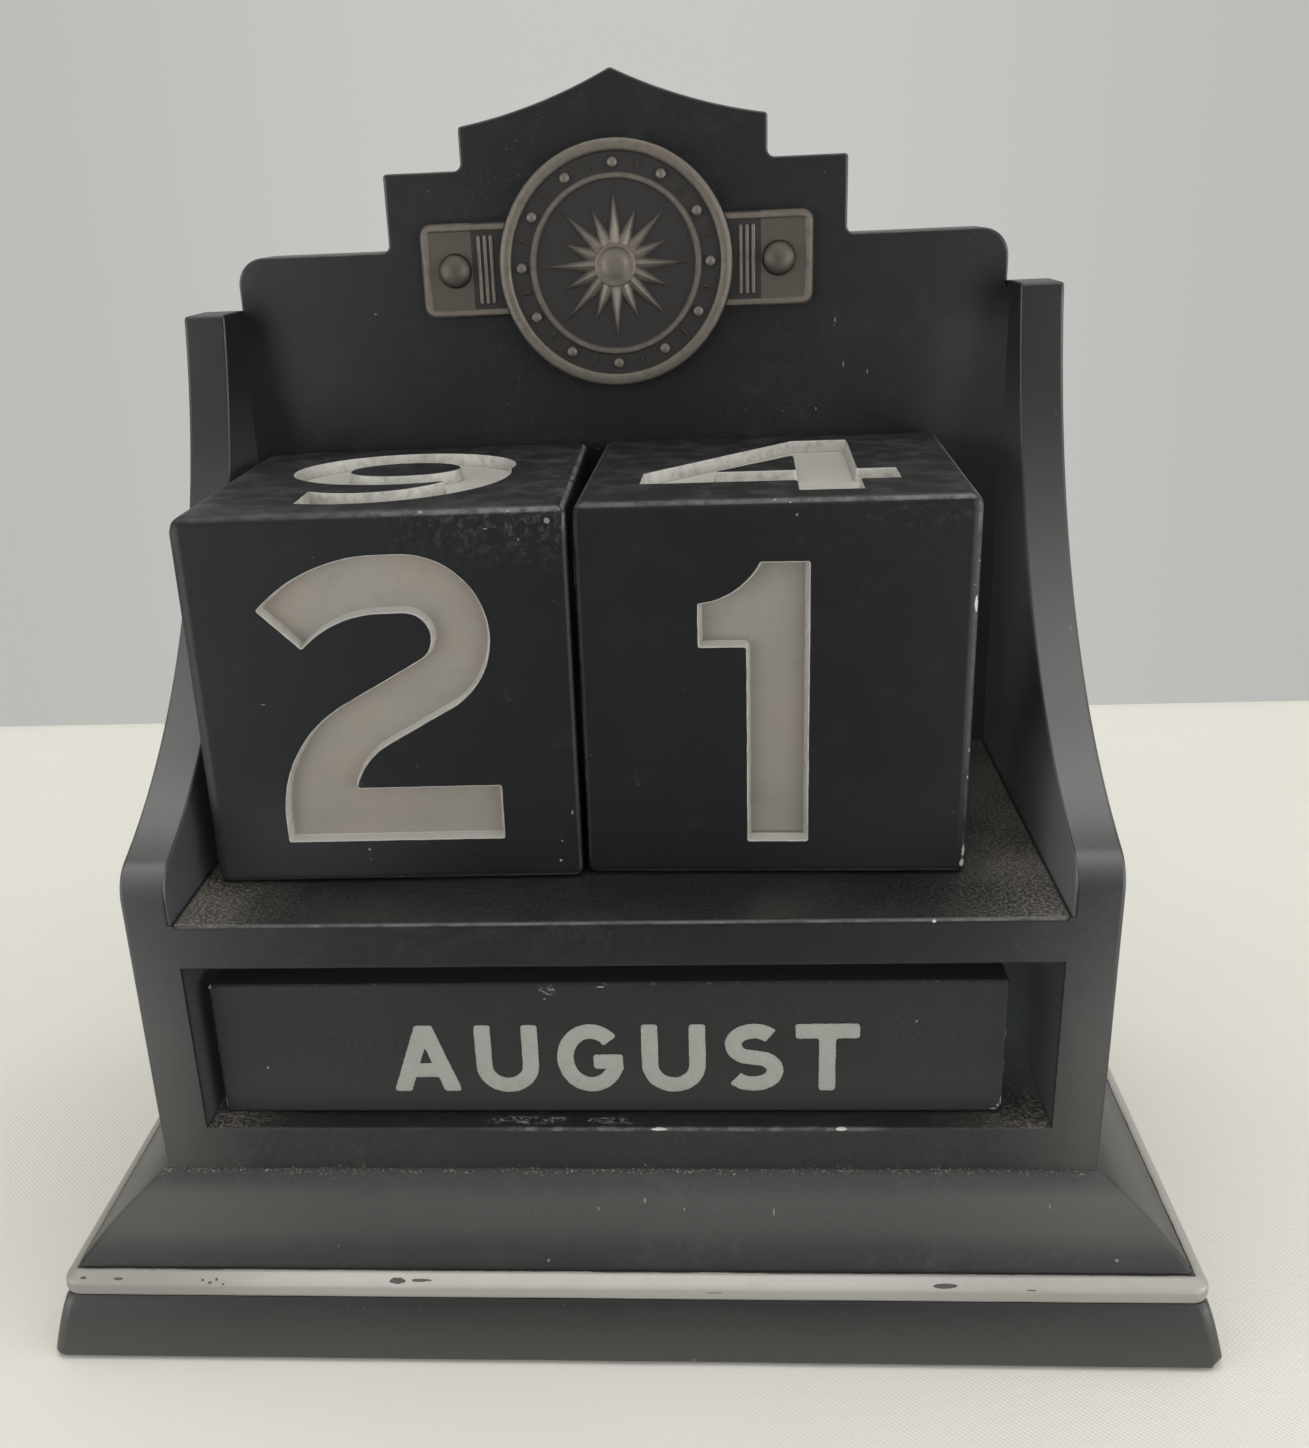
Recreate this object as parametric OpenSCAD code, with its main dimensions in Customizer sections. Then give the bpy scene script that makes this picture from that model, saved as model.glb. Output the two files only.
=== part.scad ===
// Perpetual desk calendar: two number cubes on a shelf, three four-sided month
// bars in the cavity below it, on a moulded plinth with a gabled back panel.
// Millimetres. +Z is up, the front faces -Y, and the origin is on the resting
// plane at the centre of the plinth.

/* [Number cubes] */
// Edge length of a number cube
cube_s = 45; // [42:0.5:48]
// Edge rounding of a cube
cube_r = 1.2; // [0.4:0.1:2]
// Depth of the sunk numerals below the face
numeral_depth = 2; // [1:0.1:3]
// Thickness of the silver layer on the floor of a sunk numeral
numeral_fill = 0.4; // [0.2:0.1:0.8]
// Turn of the left cube on the shelf, in degrees
left_cube_turn = 0.8; // [-1:0.1:1]
// Turn of the right cube on the shelf, in degrees
right_cube_turn = -1.4; // [-1.5:0.1:1]
// Sideways play of both cubes together between the cheeks
cube_play = 12.2; // [8:0.1:16]
// Gap between the left cube and the left cheek
left_cube_gap = 1.65; // [0.8:0.05:3]
// Gap between the two cubes
mid_cube_gap = 1.5; // [1.2:0.1:3]

/* [Month bars] */
// Width and height of a month bar
bar_t = 17.9; // [16:0.1:18]
// Length of a month bar
bar_l = 95.3; // [90:0.1:98]
// Edge rounding of a bar
bar_r = 0.8; // [0.3:0.1:1.5]
// Height of the capital letters
letter_h = 9.2; // [8:0.1:10]
// Space between letters
letter_gap = 2.1; // [1:0.1:2.4]
// Depth of the print layer
print_t = 0.25; // [0.15:0.05:0.4]
// How far a month word sits to the right of the middle of its side
word_right = 2.2; // [0:0.1:3]
// How far a month word sits from the middle of its side: down on the front
// and the back, up on the top and the underside
word_low = 1.3; // [0:0.1:2]
// How far the front bar sits behind the face of the housing
bar_setback = 3.3; // [1:0.1:3.6]
// Gap between one bar and the next
bar_gap = 0.25; // [0.2:0.05:0.4]

/* [Housing] */
// Thickness of the side cheeks
cheek_t = 5.9; // [5:0.1:9]
// How much thinner a cheek is above the shelf, on its inner side
wing_relief = 0.4; // [0.1:0.1:1]
// Radius of the rear top corner of a cheek
rear_r = 7; // [2:0.5:8]
// Thickness of the shelf under the cubes
shelf_t = 5.8; // [4:0.1:7]
// Thickness of the cavity floor
floor_t = 5.8; // [4:0.1:7]
// Clear height of the month bar cavity
cavity_h = 21.9; // [20:0.1:24]
// Depth of the cavity and the shelf, front face to back panel
bay_d = 58.5; // [58.5:0.1:62]
// Thickness of the back panel
panel_t = 8; // [6:0.5:12]
// Height of the cheeks above the shelf
cheek_rise = 63.9; // [60:0.1:70]
// Radius of the long hollow sweep on the front edge of a cheek
sweep_r = 75; // [72:1:80]
// Radius of the shoulder where the sweep starts
shoulder_r = 4.5; // [3:0.1:6]

/* [Back panel] */
// Height of the gable peak above the top of the cheeks
peak_rise = 27.5; // [24:0.1:32]
// Half width of the gable
gable_w = 19.9; // [16:0.1:24]
// Height of the gable corner above the top of the cheeks
gable_rise = 21.4; // [19:0.1:23]
// Half width of the upper step
step_w = 30.2; // [27:0.1:36]
// Height of the upper step above the top of the cheeks
step_rise = 16.2; // [12:0.1:18]
// Height of the lower step above the top of the cheeks
lower_rise = 6.6; // [4:0.1:9]
// Corner radius of the lower step
lower_r = 3.6; // [1:0.1:4]
// Radius of the hollow gable slopes
gable_r = 70; // [50:1:120]

/* [Plinth] */
// Height of the plinth, up to the cavity floor board
plinth_h = 18.9; // [18:0.1:22]
// How far the foot stands out from the housing
foot_out = 12.8; // [12:0.1:16]
// How far the trim band stands out from the housing
band_out = 11; // [10.8:0.05:11.6]
// Bottom of the trim band
band_z0 = 8; // [7:0.1:8.5]
// Top of the trim band
band_z1 = 11; // [10.5:0.1:11.2]
// Thickness of the felt pad
pad_t = 1.3; // [1:0.1:2]
// Height of the felt pad below the foot
pad_proud = 0.3; // [0.2:0.1:0.6]

/* [Emblem] */
// Length of the riveted strap
strap_l = 51.5; // [48:0.5:56]
// Width of the riveted strap
strap_w = 11.8; // [10:0.1:14]
// Diameter of the sunburst disc
disc_d = 30.6; // [28:0.1:33]
// Height of the emblem centre above the resting plane
emblem_z = 120.3; // [119:0.1:122]
// Distance of a rivet from the centre
rivet_x = 21.3; // [19:0.1:22.5]
// Number of rays in the sunburst
ray_count = 16; // [8:4:24]
// Number of studs around the disc, one for each month
stud_count = 12; // [12:12:24]

/* [Hidden] */
$fn = 48;
eps = 0.01;

bay_w = 2*cube_s + cube_play;          // clear width between the cheeks
house_w = bay_w + 2*cheek_t;           // outer width of the housing
house_d = bay_d + panel_t;             // front face to back face
face_y = -house_d/2;                   // front face of the housing
panel_y = face_y + bay_d;              // front face of the back panel
floor_z = plinth_h + floor_t;          // floor of the bar cavity
shelf_z = floor_z + cavity_h + shelf_t;   // top of the shelf
cheek_z = shelf_z + cheek_rise;        // top of the cheeks
rest_gap = 0.15;                       // air under a piece that lies loose

ink = [0.09, 0.09, 0.095];
silver = [0.70, 0.69, 0.66];
pewter = [0.42, 0.38, 0.33];

// ---------------------------------------------------------------- helpers
function unit(v) = v/norm(v);
function lnorm(a, b) = let (d = unit(b - a)) [-d[1], d[0]];
function rev(p) = [for (i = [len(p)-1:-1:0]) p[i]];

// points on an arc; rx and ry may differ
function arc(cx, cy, rx, ry, a0, a1, n) =
    [for (i = [0:n]) let (a = a0 + (a1-a0)*i/n) [cx + rx*cos(a), cy + ry*sin(a)]];
function ring_pts(cx, cy, rx, ry, n) =
    [for (i = [0:n-1]) let (a = 360*i/n) [cx + rx*cos(a), cy + ry*sin(a)]];

// one side of a stroke of half width h along the path p, mitred at each point
function side_pts(p, h) =
    [for (i = [0:len(p)-1])
        let (n0 = i == 0 ? lnorm(p[0], p[1]) : lnorm(p[i-1], p[i]),
             n1 = i == len(p)-1 ? n0 : lnorm(p[i], p[i+1]),
             m = unit(n0 + n1))
        p[i] + m*h/(m*n0)];
// outlines run counterclockwise
function area2(p, i = 0) =
    i >= len(p) ? 0 : let (q = p[(i+1) % len(p)]) p[i][0]*q[1] - q[0]*p[i][1] + area2(p, i + 1);
module poly(p) { polygon(area2(p) < 0 ? rev(p) : p); }
module stroke(p, w) { poly(concat(side_pts(p, w/2), rev(side_pts(p, -w/2)))); }
// an oval ring of stroke width w, with the centre line at rx and ry
module ring(cx, cy, rx, ry, w, n) {
    difference() {
        polygon(ring_pts(cx, cy, rx + w/2, ry + w/2, n));
        polygon(ring_pts(cx, cy, rx - w/2, ry - w/2, n));
    }
}
module block(x, y, w, h) { translate([x, y]) square([w, h]); }

// a square with rounded corners, made of true arcs
module soft_square(a, b, r) {
    translate([-a/2 + r, -b/2]) square([a - 2*r, b]);
    translate([-a/2, -b/2 + r]) square([a, b - 2*r]);
    for (x = [-1, 1], y = [-1, 1])
        translate([x*(a/2 - r), y*(b/2 - r)]) circle(r = r, $fn = 32);
}

// ---------------------------------------------------------------- numerals
// Bold numerals on a 45 x 45 field, lower left corner at the origin.
nt = 6.9;   // stem width

module numeral_2d(d) {
    if (d == 0) difference() {
        poly(ring_pts(22.5, 22.5, 13.4, 17.5, 48));
        poly(ring_pts(22.5, 22.5, 6.5, 10.6, 40));
    }
    if (d == 1) poly(concat(
        [[20.8, 38.0], [26.4, 38.0], [26.4, 4.2], [19.2, 4.2], [19.2, 28.2], [13.7, 28.2]],
        arc(13.2, 41.95, 8.56, 8.56, -86.6, -32, 7)));
    if (d == 2) poly(concat(
        arc(23.5, 19.75, 20.4, 20.4, 135.4, 90, 8),
        arc(26.0, 30.4, 9.75, 9.75, 90, -61.2, 22),
        arc(27.24, 9.68, 9.0, 9.0, 118.8, 163.7, 7),
        [[35.9, 12.2], [35.9, 5.3], [9.5, 5.3]],
        arc(25.9, 8.26, 16.4, 16.4, 180, 118.8, 9),
        arc(26.0, 30.4, 2.95, 2.95, -61.2, 90, 14),
        arc(23.5, 19.75, 13.6, 13.6, 90, 135.4, 8)));
    if (d == 3) {
        stroke(concat(arc(22.0, 30.18, 9.6, 6.38, 155, -90, 20), [[16.5, 23.8]]), nt);
        stroke(concat([[16.5, 23.8]], arc(22.0, 16.17, 10.3, 7.63, 90, -155, 22)), nt);
    }
    if (d == 4) difference() {
        poly([[25.2, 39.9], [32.5, 39.9], [32.5, 17.7], [37.1, 17.7], [37.1, 10.8],
                 [32.5, 10.8], [32.5, 4.6], [25.2, 4.6], [25.2, 10.8], [6.9, 10.8], [6.9, 17.8]]);
        poly([[15.4, 17.7], [25.2, 28.3], [25.2, 17.7]]);
    }
    if (d == 5) {
        block(12.6, 33.1, 20.6, nt);
        block(12.6, 20.6, nt, 19.4);
        stroke(concat(arc(20.6, 16.2, 11.4, 7.65, 118, -150, 24)), nt);
    }
    if (d == 7) {
        block(9.8, 33.1, 25.8, nt);
        poly([[27.6, 34], [35.6, 34], [35.6, 33.1], [21.2, 5.1], [13.4, 5.1]]);
    }
    if (d == 8) {
        ring(22.5, 30.2, 8.3, 6.3, 6.8, 36);
        ring(22.5, 16.0, 9.7, 7.45, 6.8, 40);
    }
    if (d == 9) {
        difference() {
            poly(ring_pts(22.55, 28.4, 14.25, 11.5, 48));
            poly(ring_pts(22.75, 27.6, 7.0, 4.7, 32));
        }
        // the tail, cut square at its tip
        difference() {
            poly(concat(arc(19.5, 22.5, 17.3, 17.3, 20, -111.4, 26),
                           arc(19.5, 22.5, 10.4, 10.4, -127.3, 20, 22)));
            block(22.75 - 7, 27.6 - 4.7, 11, 9.4);
        }
    }
}

// Numeral d as a solid from depth z0 to z1 on the face of a cube, where z = 0
// is the face. face: 0 front, 1 top, 2 right, 3 back, 4 left, 5 underside.
module on_face(face, s) {
    turn = [[90, 0, 0], [0, 0, 0], [90, 0, 90], [90, 0, 180], [90, 0, -90], [180, 0, 0]][face];
    rotate(turn) translate([-s/2, -s/2, s/2]) children();
}
module numerals(list, z0, z1) {
    for (f = [0:5])
        on_face(f, cube_s) translate([0, 0, z0])
            linear_extrude(z1 - z0) scale(cube_s/45) numeral_2d(list[f]);
}

// ---------------------------------------------------------------- letters
// Capitals of height 9.2, each with its lower left corner at the origin.
lt = 2.0;
cap = 9.2;
function letter_w(c) =
    c == "A" ? 8.5 : c == "B" ? 7.1 : c == "C" ? 7.9 : c == "D" ? 7.7 : c == "E" ? 6.3 :
    c == "F" ? 6.1 : c == "G" ? 8.0 : c == "H" ? 7.5 : c == "I" ? 2.0 : c == "J" ? 5.9 :
    c == "L" ? 6.0 : c == "M" ? 9.0 : c == "N" ? 7.7 : c == "O" ? 8.7 : c == "P" ? 7.0 :
    c == "R" ? 7.4 : c == "S" ? 7.3 : c == "T" ? 7.6 : c == "U" ? 7.7 : c == "V" ? 8.4 : 8.2;

module bowl(x, y0, y1, out) {   // a D-shaped bowl from a stem at x
    r = (y1 - y0 - lt)/2;
    yc = (y0 + y1)/2;
    stroke(concat([[x, y1 - lt/2]], arc(x + out - lt/2 - r, yc, r, r, 90, -90, 8),
                  [[x, y0 + lt/2]]), lt);
}
module letter_2d(c) {
    w = letter_w(c);
    if (c == "A") {
        poly([[0, 0], [2.3, 0], [5.35, cap], [3.15, cap]]);
        poly([[w, 0], [w - 2.3, 0], [w - 5.35, cap], [w - 3.15, cap]]);
        block(1.6, 2.0, w - 3.2, 2.0);
    }
    if (c == "B") { block(0, 0, lt, cap); bowl(1, 4.0, cap, 5.6); bowl(1, 0, 5.6, 6.1); }
    if (c == "C") stroke(arc(4.3, 4.6, 3.3, 3.6, 42, 318, 20), lt);
    if (c == "D") { block(0, 0, lt, cap); bowl(1, 0, cap, 6.7); }
    if (c == "E") { block(0, 0, lt, cap); for (y = [0, 3.6, 7.2]) block(1, y, w - 1 - (y == 3.6 ? 0.5 : 0), lt); }
    if (c == "F") { block(0, 0, lt, cap); for (y = [3.5, 7.2]) block(1, y, w - 1 - (y == 3.5 ? 0.6 : 0), lt); }
    if (c == "G") {
        stroke(arc(4.1, 4.6, 3.1, 3.7, 40, 345, 20), lt);
        block(4.4, 3.1, 3.6, 2.0);
    }
    if (c == "H") { block(0, 0, lt, cap); block(w - lt, 0, lt, cap); block(1, 3.6, w - 2, lt); }
    if (c == "I") block(0, 0, lt, cap);
    if (c == "J") stroke(concat([[w - 1, cap]], arc(2.9, 2.9, 2.0, 1.95, 0, -165, 10)), lt);
    if (c == "L") { block(0, 0, lt, cap); block(1, 0, w - 1, lt); }
    if (c == "M") {
        block(0, 0, lt, cap);
        block(w - lt, 0, lt, cap);
        poly([[0, cap], [2.2, cap], [w/2 + 1, 2.2], [w/2 - 1, 2.2]]);
        poly([[w, cap], [w - 2.2, cap], [w/2 - 1, 2.2], [w/2 + 1, 2.2]]);
    }
    if (c == "N") {
        block(0, 0, lt, cap);
        block(w - lt, 0, lt, cap);
        poly([[0, cap], [2.3, cap], [w, 0], [w - 2.3, 0]]);
    }
    if (c == "O") ring(w/2, 4.6, w/2 - 1, 3.7, lt, 32);
    if (c == "P") { block(0, 0, lt, cap); bowl(1, 3.3, cap, 6.0); }
    if (c == "R") {
        block(0, 0, lt, cap);
        bowl(1, 3.6, cap, 6.0);
        poly([[2.6, 4.6], [4.8, 4.6], [w, 0], [w - 2.4, 0]]);
    }
    if (c == "S") stroke(concat(arc(3.7, 6.4, 2.5, 1.85, 38, 240, 12),
                                arc(3.6, 2.8, 2.6, 1.85, 60, -145, 12)), lt);
    if (c == "T") { block(0, 7.2, w, lt); block(w/2 - 1, 0, lt, 8); }
    if (c == "U") stroke(concat([[1, cap]], arc(w/2, 3.6, w/2 - 1, 2.75, 180, 360, 12), [[w - 1, cap]]), lt);
    if (c == "V") {
        poly([[0, cap], [2.3, cap], [5.25, 0], [3.15, 0]]);
        poly([[w, cap], [w - 2.3, cap], [w - 5.25, 0], [w - 3.15, 0]]);
    }
    if (c == "Y") {
        poly([[0, cap], [2.5, cap], [5.1, 3.4], [3.1, 3.4]]);
        poly([[w, cap], [w - 2.5, cap], [w - 5.1, 3.4], [w - 3.1, 3.4]]);
        block(w/2 - 1, 0, lt, 4);
    }
}
// the gap before letter i is closed up beside a T or an A
function kern(a, b) = (a == "T" || b == "T" ? -0.8 : 0) + (a == "A" || b == "A" ? -0.2 : 0)
                    + (a == "G" || b == "G" ? 0.15 : 0);
function pen_x(s, g, i) =
    i == 0 ? 0 : pen_x(s, g, i - 1) + letter_w(s[i-1]) + g + kern(s[i-1], s[i]);
function word_w(s, g) = pen_x(s, g, len(s) - 1) + letter_w(s[len(s)-1]);
module word_2d(s) {   // centred on the origin
    k = letter_h/cap;
    g = letter_gap/k;
    scale(k) translate([-word_w(s, g)/2, -cap/2])
        for (i = [0:len(s)-1]) translate([pen_x(s, g, i), 0]) letter_2d(s[i]);
}
// The four words of a bar, flush with its sides, as a layer of thickness t.
// words: front, top, back, underside.
module bar_words(words, t) {
    for (i = [0:3])
        rotate([90 - 90*i, 0, 0]) translate([word_right, i % 2 == 0 ? -word_low : word_low, bar_t/2 - t])
            linear_extrude(t) word_2d(words[i]);
}

// ---------------------------------------------------------------- cubes
left_x = -bay_w/2 + left_cube_gap + cube_s/2;
right_x = left_x + cube_s + mid_cube_gap;
left_cube_y = face_y + 11.7 + cube_s/2;
right_cube_y = face_y + 12.4 + cube_s/2;
cube_z = shelf_z + rest_gap + cube_s/2;
// front, top, right, back, left, underside
left_numbers = [2, 9, 7, 8, 0, 1];
right_numbers = [1, 4, 0, 5, 3, 2];

module soft_cube(s, r) {
    intersection() {
        translate([0, 0, -s/2]) linear_extrude(s) soft_square(s, s, r);
        rotate([90, 0, 0]) translate([0, 0, -s/2]) linear_extrude(s) soft_square(s, s, r);
        rotate([90, 0, 90]) translate([0, 0, -s/2]) linear_extrude(s) soft_square(s, s, r);
    }
}
module number_cube(list) {
    difference() {
        soft_cube(cube_s, cube_r);
        numerals(list, -numeral_depth, 1);
    }
}
module place_left() { translate([left_x, left_cube_y, cube_z]) rotate([0, 0, left_cube_turn]) children(); }
module place_right() { translate([right_x, right_cube_y, cube_z]) rotate([0, 0, right_cube_turn]) children(); }

module left_cube() { color(ink) place_left() number_cube(left_numbers); }
module left_cube_numerals() {
    color(silver) place_left() numerals(left_numbers, -numeral_depth, -numeral_depth + numeral_fill);
}
module right_cube() { color(ink) place_right() number_cube(right_numbers); }
module right_cube_numerals() {
    color(silver) place_right() numerals(right_numbers, -numeral_depth, -numeral_depth + numeral_fill);
}

// ---------------------------------------------------------------- month bars
bar_x = -bay_w/2 + 1.6 + bar_l/2;
bar_z = floor_z + rest_gap + bar_t/2;
function bar_y(i) = face_y + bar_setback + bar_t/2 + i*(bar_t + bar_gap);
front_words = ["AUGUST", "MAY", "JUNE", "JULY"];
middle_words = ["SEPTEMBER", "OCTOBER", "NOVEMBER", "DECEMBER"];
rear_words = ["JANUARY", "FEBRUARY", "MARCH", "APRIL"];

module place_bar(i) { translate([bar_x, bar_y(i), bar_z]) children(); }
module month_bar(words) {
    difference() {
        rotate([90, 0, 90]) translate([0, 0, -bar_l/2])
            linear_extrude(bar_l) soft_square(bar_t, bar_t, bar_r);
        bar_words(words, print_t);
    }
}
module front_bar() { color(ink) place_bar(0) month_bar(front_words); }
module front_bar_letters() { color(silver) place_bar(0) bar_words(front_words, print_t); }
module middle_bar() { color(ink) place_bar(1) month_bar(middle_words); }
module middle_bar_letters() { color(silver) place_bar(1) bar_words(middle_words, print_t); }
module rear_bar() { color(ink) place_bar(2) month_bar(rear_words); }
module rear_bar_letters() { color(silver) place_bar(2) bar_words(rear_words, print_t); }

// ---------------------------------------------------------------- plinth
// Moulding section: how far it stands out from the housing, and the height.
// An ovolo falls from the housing to a ledge, the trim band sits below it,
// and the foot flares out to the resting plane.
ovolo_r = 31;    // its slope turns from 29 to 51 degrees
ovolo = [for (i = [0:8]) let (t = 29 + 22*i/8)
         [ovolo_r*(sin(t) - sin(29)), plinth_h - ovolo_r*(cos(29) - cos(t))]];
// foot, top to bottom: a shallow outward flare with a rounded toe
foot = concat([for (i = [0:5]) [band_out - 0.3 + (foot_out - band_out + 0.3)*pow(i/5, 0.7),
                                 band_z0 - (band_z0 - pad_proud - 0.6)*i/5]],
              [[foot_out - 0.15, pad_proud + 0.2], [foot_out - 0.5, pad_proud]]);
// ledge, bevel and face of the band
band = [[9.8, band_z1], [band_out, band_z1 - 0.9], [band_out, band_z0 + 0.25], [band_out - 0.25, band_z0]];
band_in = 8.3;   // the band is let into the plinth this far out

// A mitred moulding: the section runs round a rectangle. pts is the outer
// outline from the top to the bottom.
module mitred(pts, w, d) {
    intersection() {
        rotate([90, 0, 90]) translate([0, 0, -w]) linear_extrude(2*w)
            polygon(concat([for (p = pts) [d/2 + p[0], p[1]]], [for (p = rev(pts)) [-d/2 - p[0], p[1]]]));
        rotate([90, 0, 0]) translate([0, 0, -d]) linear_extrude(2*d)
            polygon(concat([for (p = pts) [w/2 + p[0], p[1]]], [for (p = rev(pts)) [-w/2 - p[0], p[1]]]));
    }
}
module slab(w, d, z0, z1) { translate([-w/2, -d/2, z0]) cube([w, d, z1 - z0]); }
pad_in = 6;   // the pad stops this far inside the foot
pad_w = house_w + 2*foot_out - 2*pad_in;
pad_d = house_d + 2*foot_out - 2*pad_in;

module plinth() {
    color(ink) difference() {
        union() {
            mitred(concat(ovolo, [[ovolo[8][0], band_z1]]), house_w, house_d);
            slab(house_w + 2*band_in, house_d + 2*band_in, band_z0, band_z1);
            mitred(foot, house_w, house_d);
        }
        slab(pad_w + 0.4, pad_d + 0.4, -1, pad_t);
    }
}
module trim_band() {
    color(silver) difference() {
        mitred(concat([[band_in - 1, band_z1]], band), house_w, house_d);
        slab(house_w + 2*band_in, house_d + 2*band_in, 0, 20);
    }
}
module base_pad() { color([0.05, 0.05, 0.05]) slab(pad_w, pad_d, 0, pad_t); }

// ---------------------------------------------------------------- housing
// Side view of a cheek: y back, z up. The front edge rises from the plinth,
// turns over a shoulder and sweeps up in one long hollow arc.
shoulder_a = 109.6;   // where the shoulder arc meets the sweep
sweep_c = [shoulder_r*(1 + cos(shoulder_a)) - sweep_r*cos(shoulder_a - 180),
           shelf_z + 2.9 + shoulder_r*sin(shoulder_a) - sweep_r*sin(shoulder_a - 180)];
sweep_end = asin((cheek_z - sweep_c[1])/sweep_r);
cheek_edge = concat([[0, plinth_h]],
    arc(shoulder_r, shelf_z + 2.9, shoulder_r, shoulder_r, 180, shoulder_a, 6),
    [for (i = [1:20]) let (a = (shoulder_a - 180) + (sweep_end - shoulder_a + 180)*i/20)
        [sweep_c[0] + sweep_r*cos(a), sweep_c[1] + sweep_r*sin(a)]]);
module cheek(side) {   // side: -1 left, 1 right
    translate([side*(bay_w + cheek_t)/2, 0, 0]) difference() {
        translate([-cheek_t/2, face_y, 0]) rotate([90, 0, 90]) linear_extrude(cheek_t)
            polygon(concat(cheek_edge, arc(house_d - rear_r, cheek_z - rear_r, rear_r, rear_r, 90, 0, 8),
                           [[house_d, plinth_h]]));
        translate([-side*(cheek_t - wing_relief + 1)/2 - (wing_relief + 1)/2, face_y - 1, shelf_z])
            cube([wing_relief + 1, bay_d + 1, cheek_rise + 1]);
    }
}
module left_cheek() { color(ink) cheek(-1); }
module right_cheek() { color(ink) cheek(1); }
module cavity_floor() { color(ink) translate([-bay_w/2, face_y, plinth_h]) cube([bay_w, bay_d, floor_t]); }
module shelf() { color(ink) translate([-bay_w/2, face_y, shelf_z - shelf_t]) cube([bay_w, bay_d, shelf_t]); }

// ---------------------------------------------------------------- back panel
// Half of the top outline, from the side to the peak.
fillet = 0.9;   // in the inner corners of the steps
rise = (peak_rise - gable_rise);
chord = norm([gable_w, rise]);
gable_t = atan2(rise, gable_w);              // slope of the chord
gable_d = asin(chord/2/gable_r);             // half the turn of the hollow slope
// centre of the hollow slope, above and outside it
gable_c = [gable_w/2, cheek_z + gable_rise + rise/2]
        + sqrt(gable_r*gable_r - chord*chord/4)*[sin(gable_t), cos(gable_t)];
panel_half = concat(
    [[bay_w/2, plinth_h]],
    arc(bay_w/2 - lower_r, cheek_z + lower_rise - lower_r, lower_r, lower_r, 0, 90, 8),
    arc(step_w + fillet, cheek_z + lower_rise + fillet, fillet, fillet, 270, 180, 4),
    [[step_w, cheek_z + step_rise]],
    arc(gable_w + fillet, cheek_z + step_rise + fillet, fillet, fillet, 270, 180, 4),
    [for (i = [0:10]) let (a = -90 - gable_t + gable_d - 2*gable_d*i/10)
        [gable_c[0] + gable_r*cos(a), gable_c[1] + gable_r*sin(a)]]);
module back_panel() {
    color(ink) difference() {
        translate([0, panel_y + panel_t, 0]) rotate([90, 0, 0]) linear_extrude(panel_t)
            polygon(concat(panel_half, [for (p = rev(panel_half)) if (p[0] > eps) [-p[0], p[1]]]));
        for (x = [-1, 1]) translate([x*rivet_x, panel_y, emblem_z]) rotate([-90, 0, 0])
            translate([0, 0, -1]) cylinder(r = shank_r + 0.05, h = shank_l + 1.3);
    }
}

// ---------------------------------------------------------------- emblem
strap_t = 1.5;
disc_t = 1.9;
shank_r = 1.2;
shank_l = 5;
module on_panel() { translate([0, panel_y, emblem_z]) rotate([90, 0, 0]) children(); }
module emblem_plate() {
    color(pewter) on_panel() {
        difference() {
            union() {
                linear_extrude(strap_t) soft_square(strap_l, strap_w, 1.3);
                cylinder(d = disc_d, h = disc_t, $fn = 96);
                // raised rim, inner ring and hub
                rotate_extrude($fn = 96) polygon([[disc_d/2 - 1.7, 0], [disc_d/2, 0], [disc_d/2, disc_t + 0.3],
                    [disc_d/2 - 0.4, disc_t + 0.7], [disc_d/2 - 1.3, disc_t + 0.7], [disc_d/2 - 1.7, disc_t + 0.3]]);
                rotate_extrude($fn = 96) polygon([[10.4, 0], [11.2, 0], [11.2, disc_t + 0.4], [10.4, disc_t + 0.4]]);
                cylinder(r = 3, h = disc_t + 1.1);
                // the sunburst
                linear_extrude(disc_t + 0.5) polygon([for (i = [0:2*ray_count-1])
                    let (a = 90 + 180*i/ray_count, r = i % 2 == 1 ? 4.4 : (i % 4 == 0 ? 9.8 : 7.8))
                    [r*cos(a), r*sin(a)]]);
                // one stud for each month
                for (i = [0:stud_count-1]) rotate([0, 0, 360*i/stud_count])
                    translate([(11.2 + disc_d/2 - 1.7)/2, 0, 0]) cylinder(r = 0.75, h = disc_t + 0.5, $fn = 16);
            }
            for (x = [-1, 1]) translate([x*rivet_x, 0, -1]) cylinder(r = shank_r + 0.05, h = 5);
        }
    }
}
module emblem_rivets() {
    color(pewter) on_panel() for (x = [-1, 1]) translate([x*rivet_x, 0, 0]) {
        translate([0, 0, -shank_l]) cylinder(r = shank_r, h = shank_l + strap_t);
        // a low domed head
        rotate_extrude() intersection() {
            translate([0, strap_t - 0.85]) circle(r = 2.35, $fn = 64);
            translate([0, strap_t]) square([4, 4]);
        }
    }
}

// ---------------------------------------------------------------- drawing
plinth();
trim_band();
base_pad();
cavity_floor();
left_cheek();
right_cheek();
shelf();
back_panel();
emblem_plate();
emblem_rivets();
left_cube();
left_cube_numerals();
right_cube();
right_cube_numerals();
front_bar();
front_bar_letters();
middle_bar();
middle_bar_letters();
rear_bar();
rear_bar_letters();
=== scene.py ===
import math
import random

import bmesh
import bpy
from mathutils import Matrix, Vector, noise
from mathutils.geometry import delaunay_2d_cdt


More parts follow.
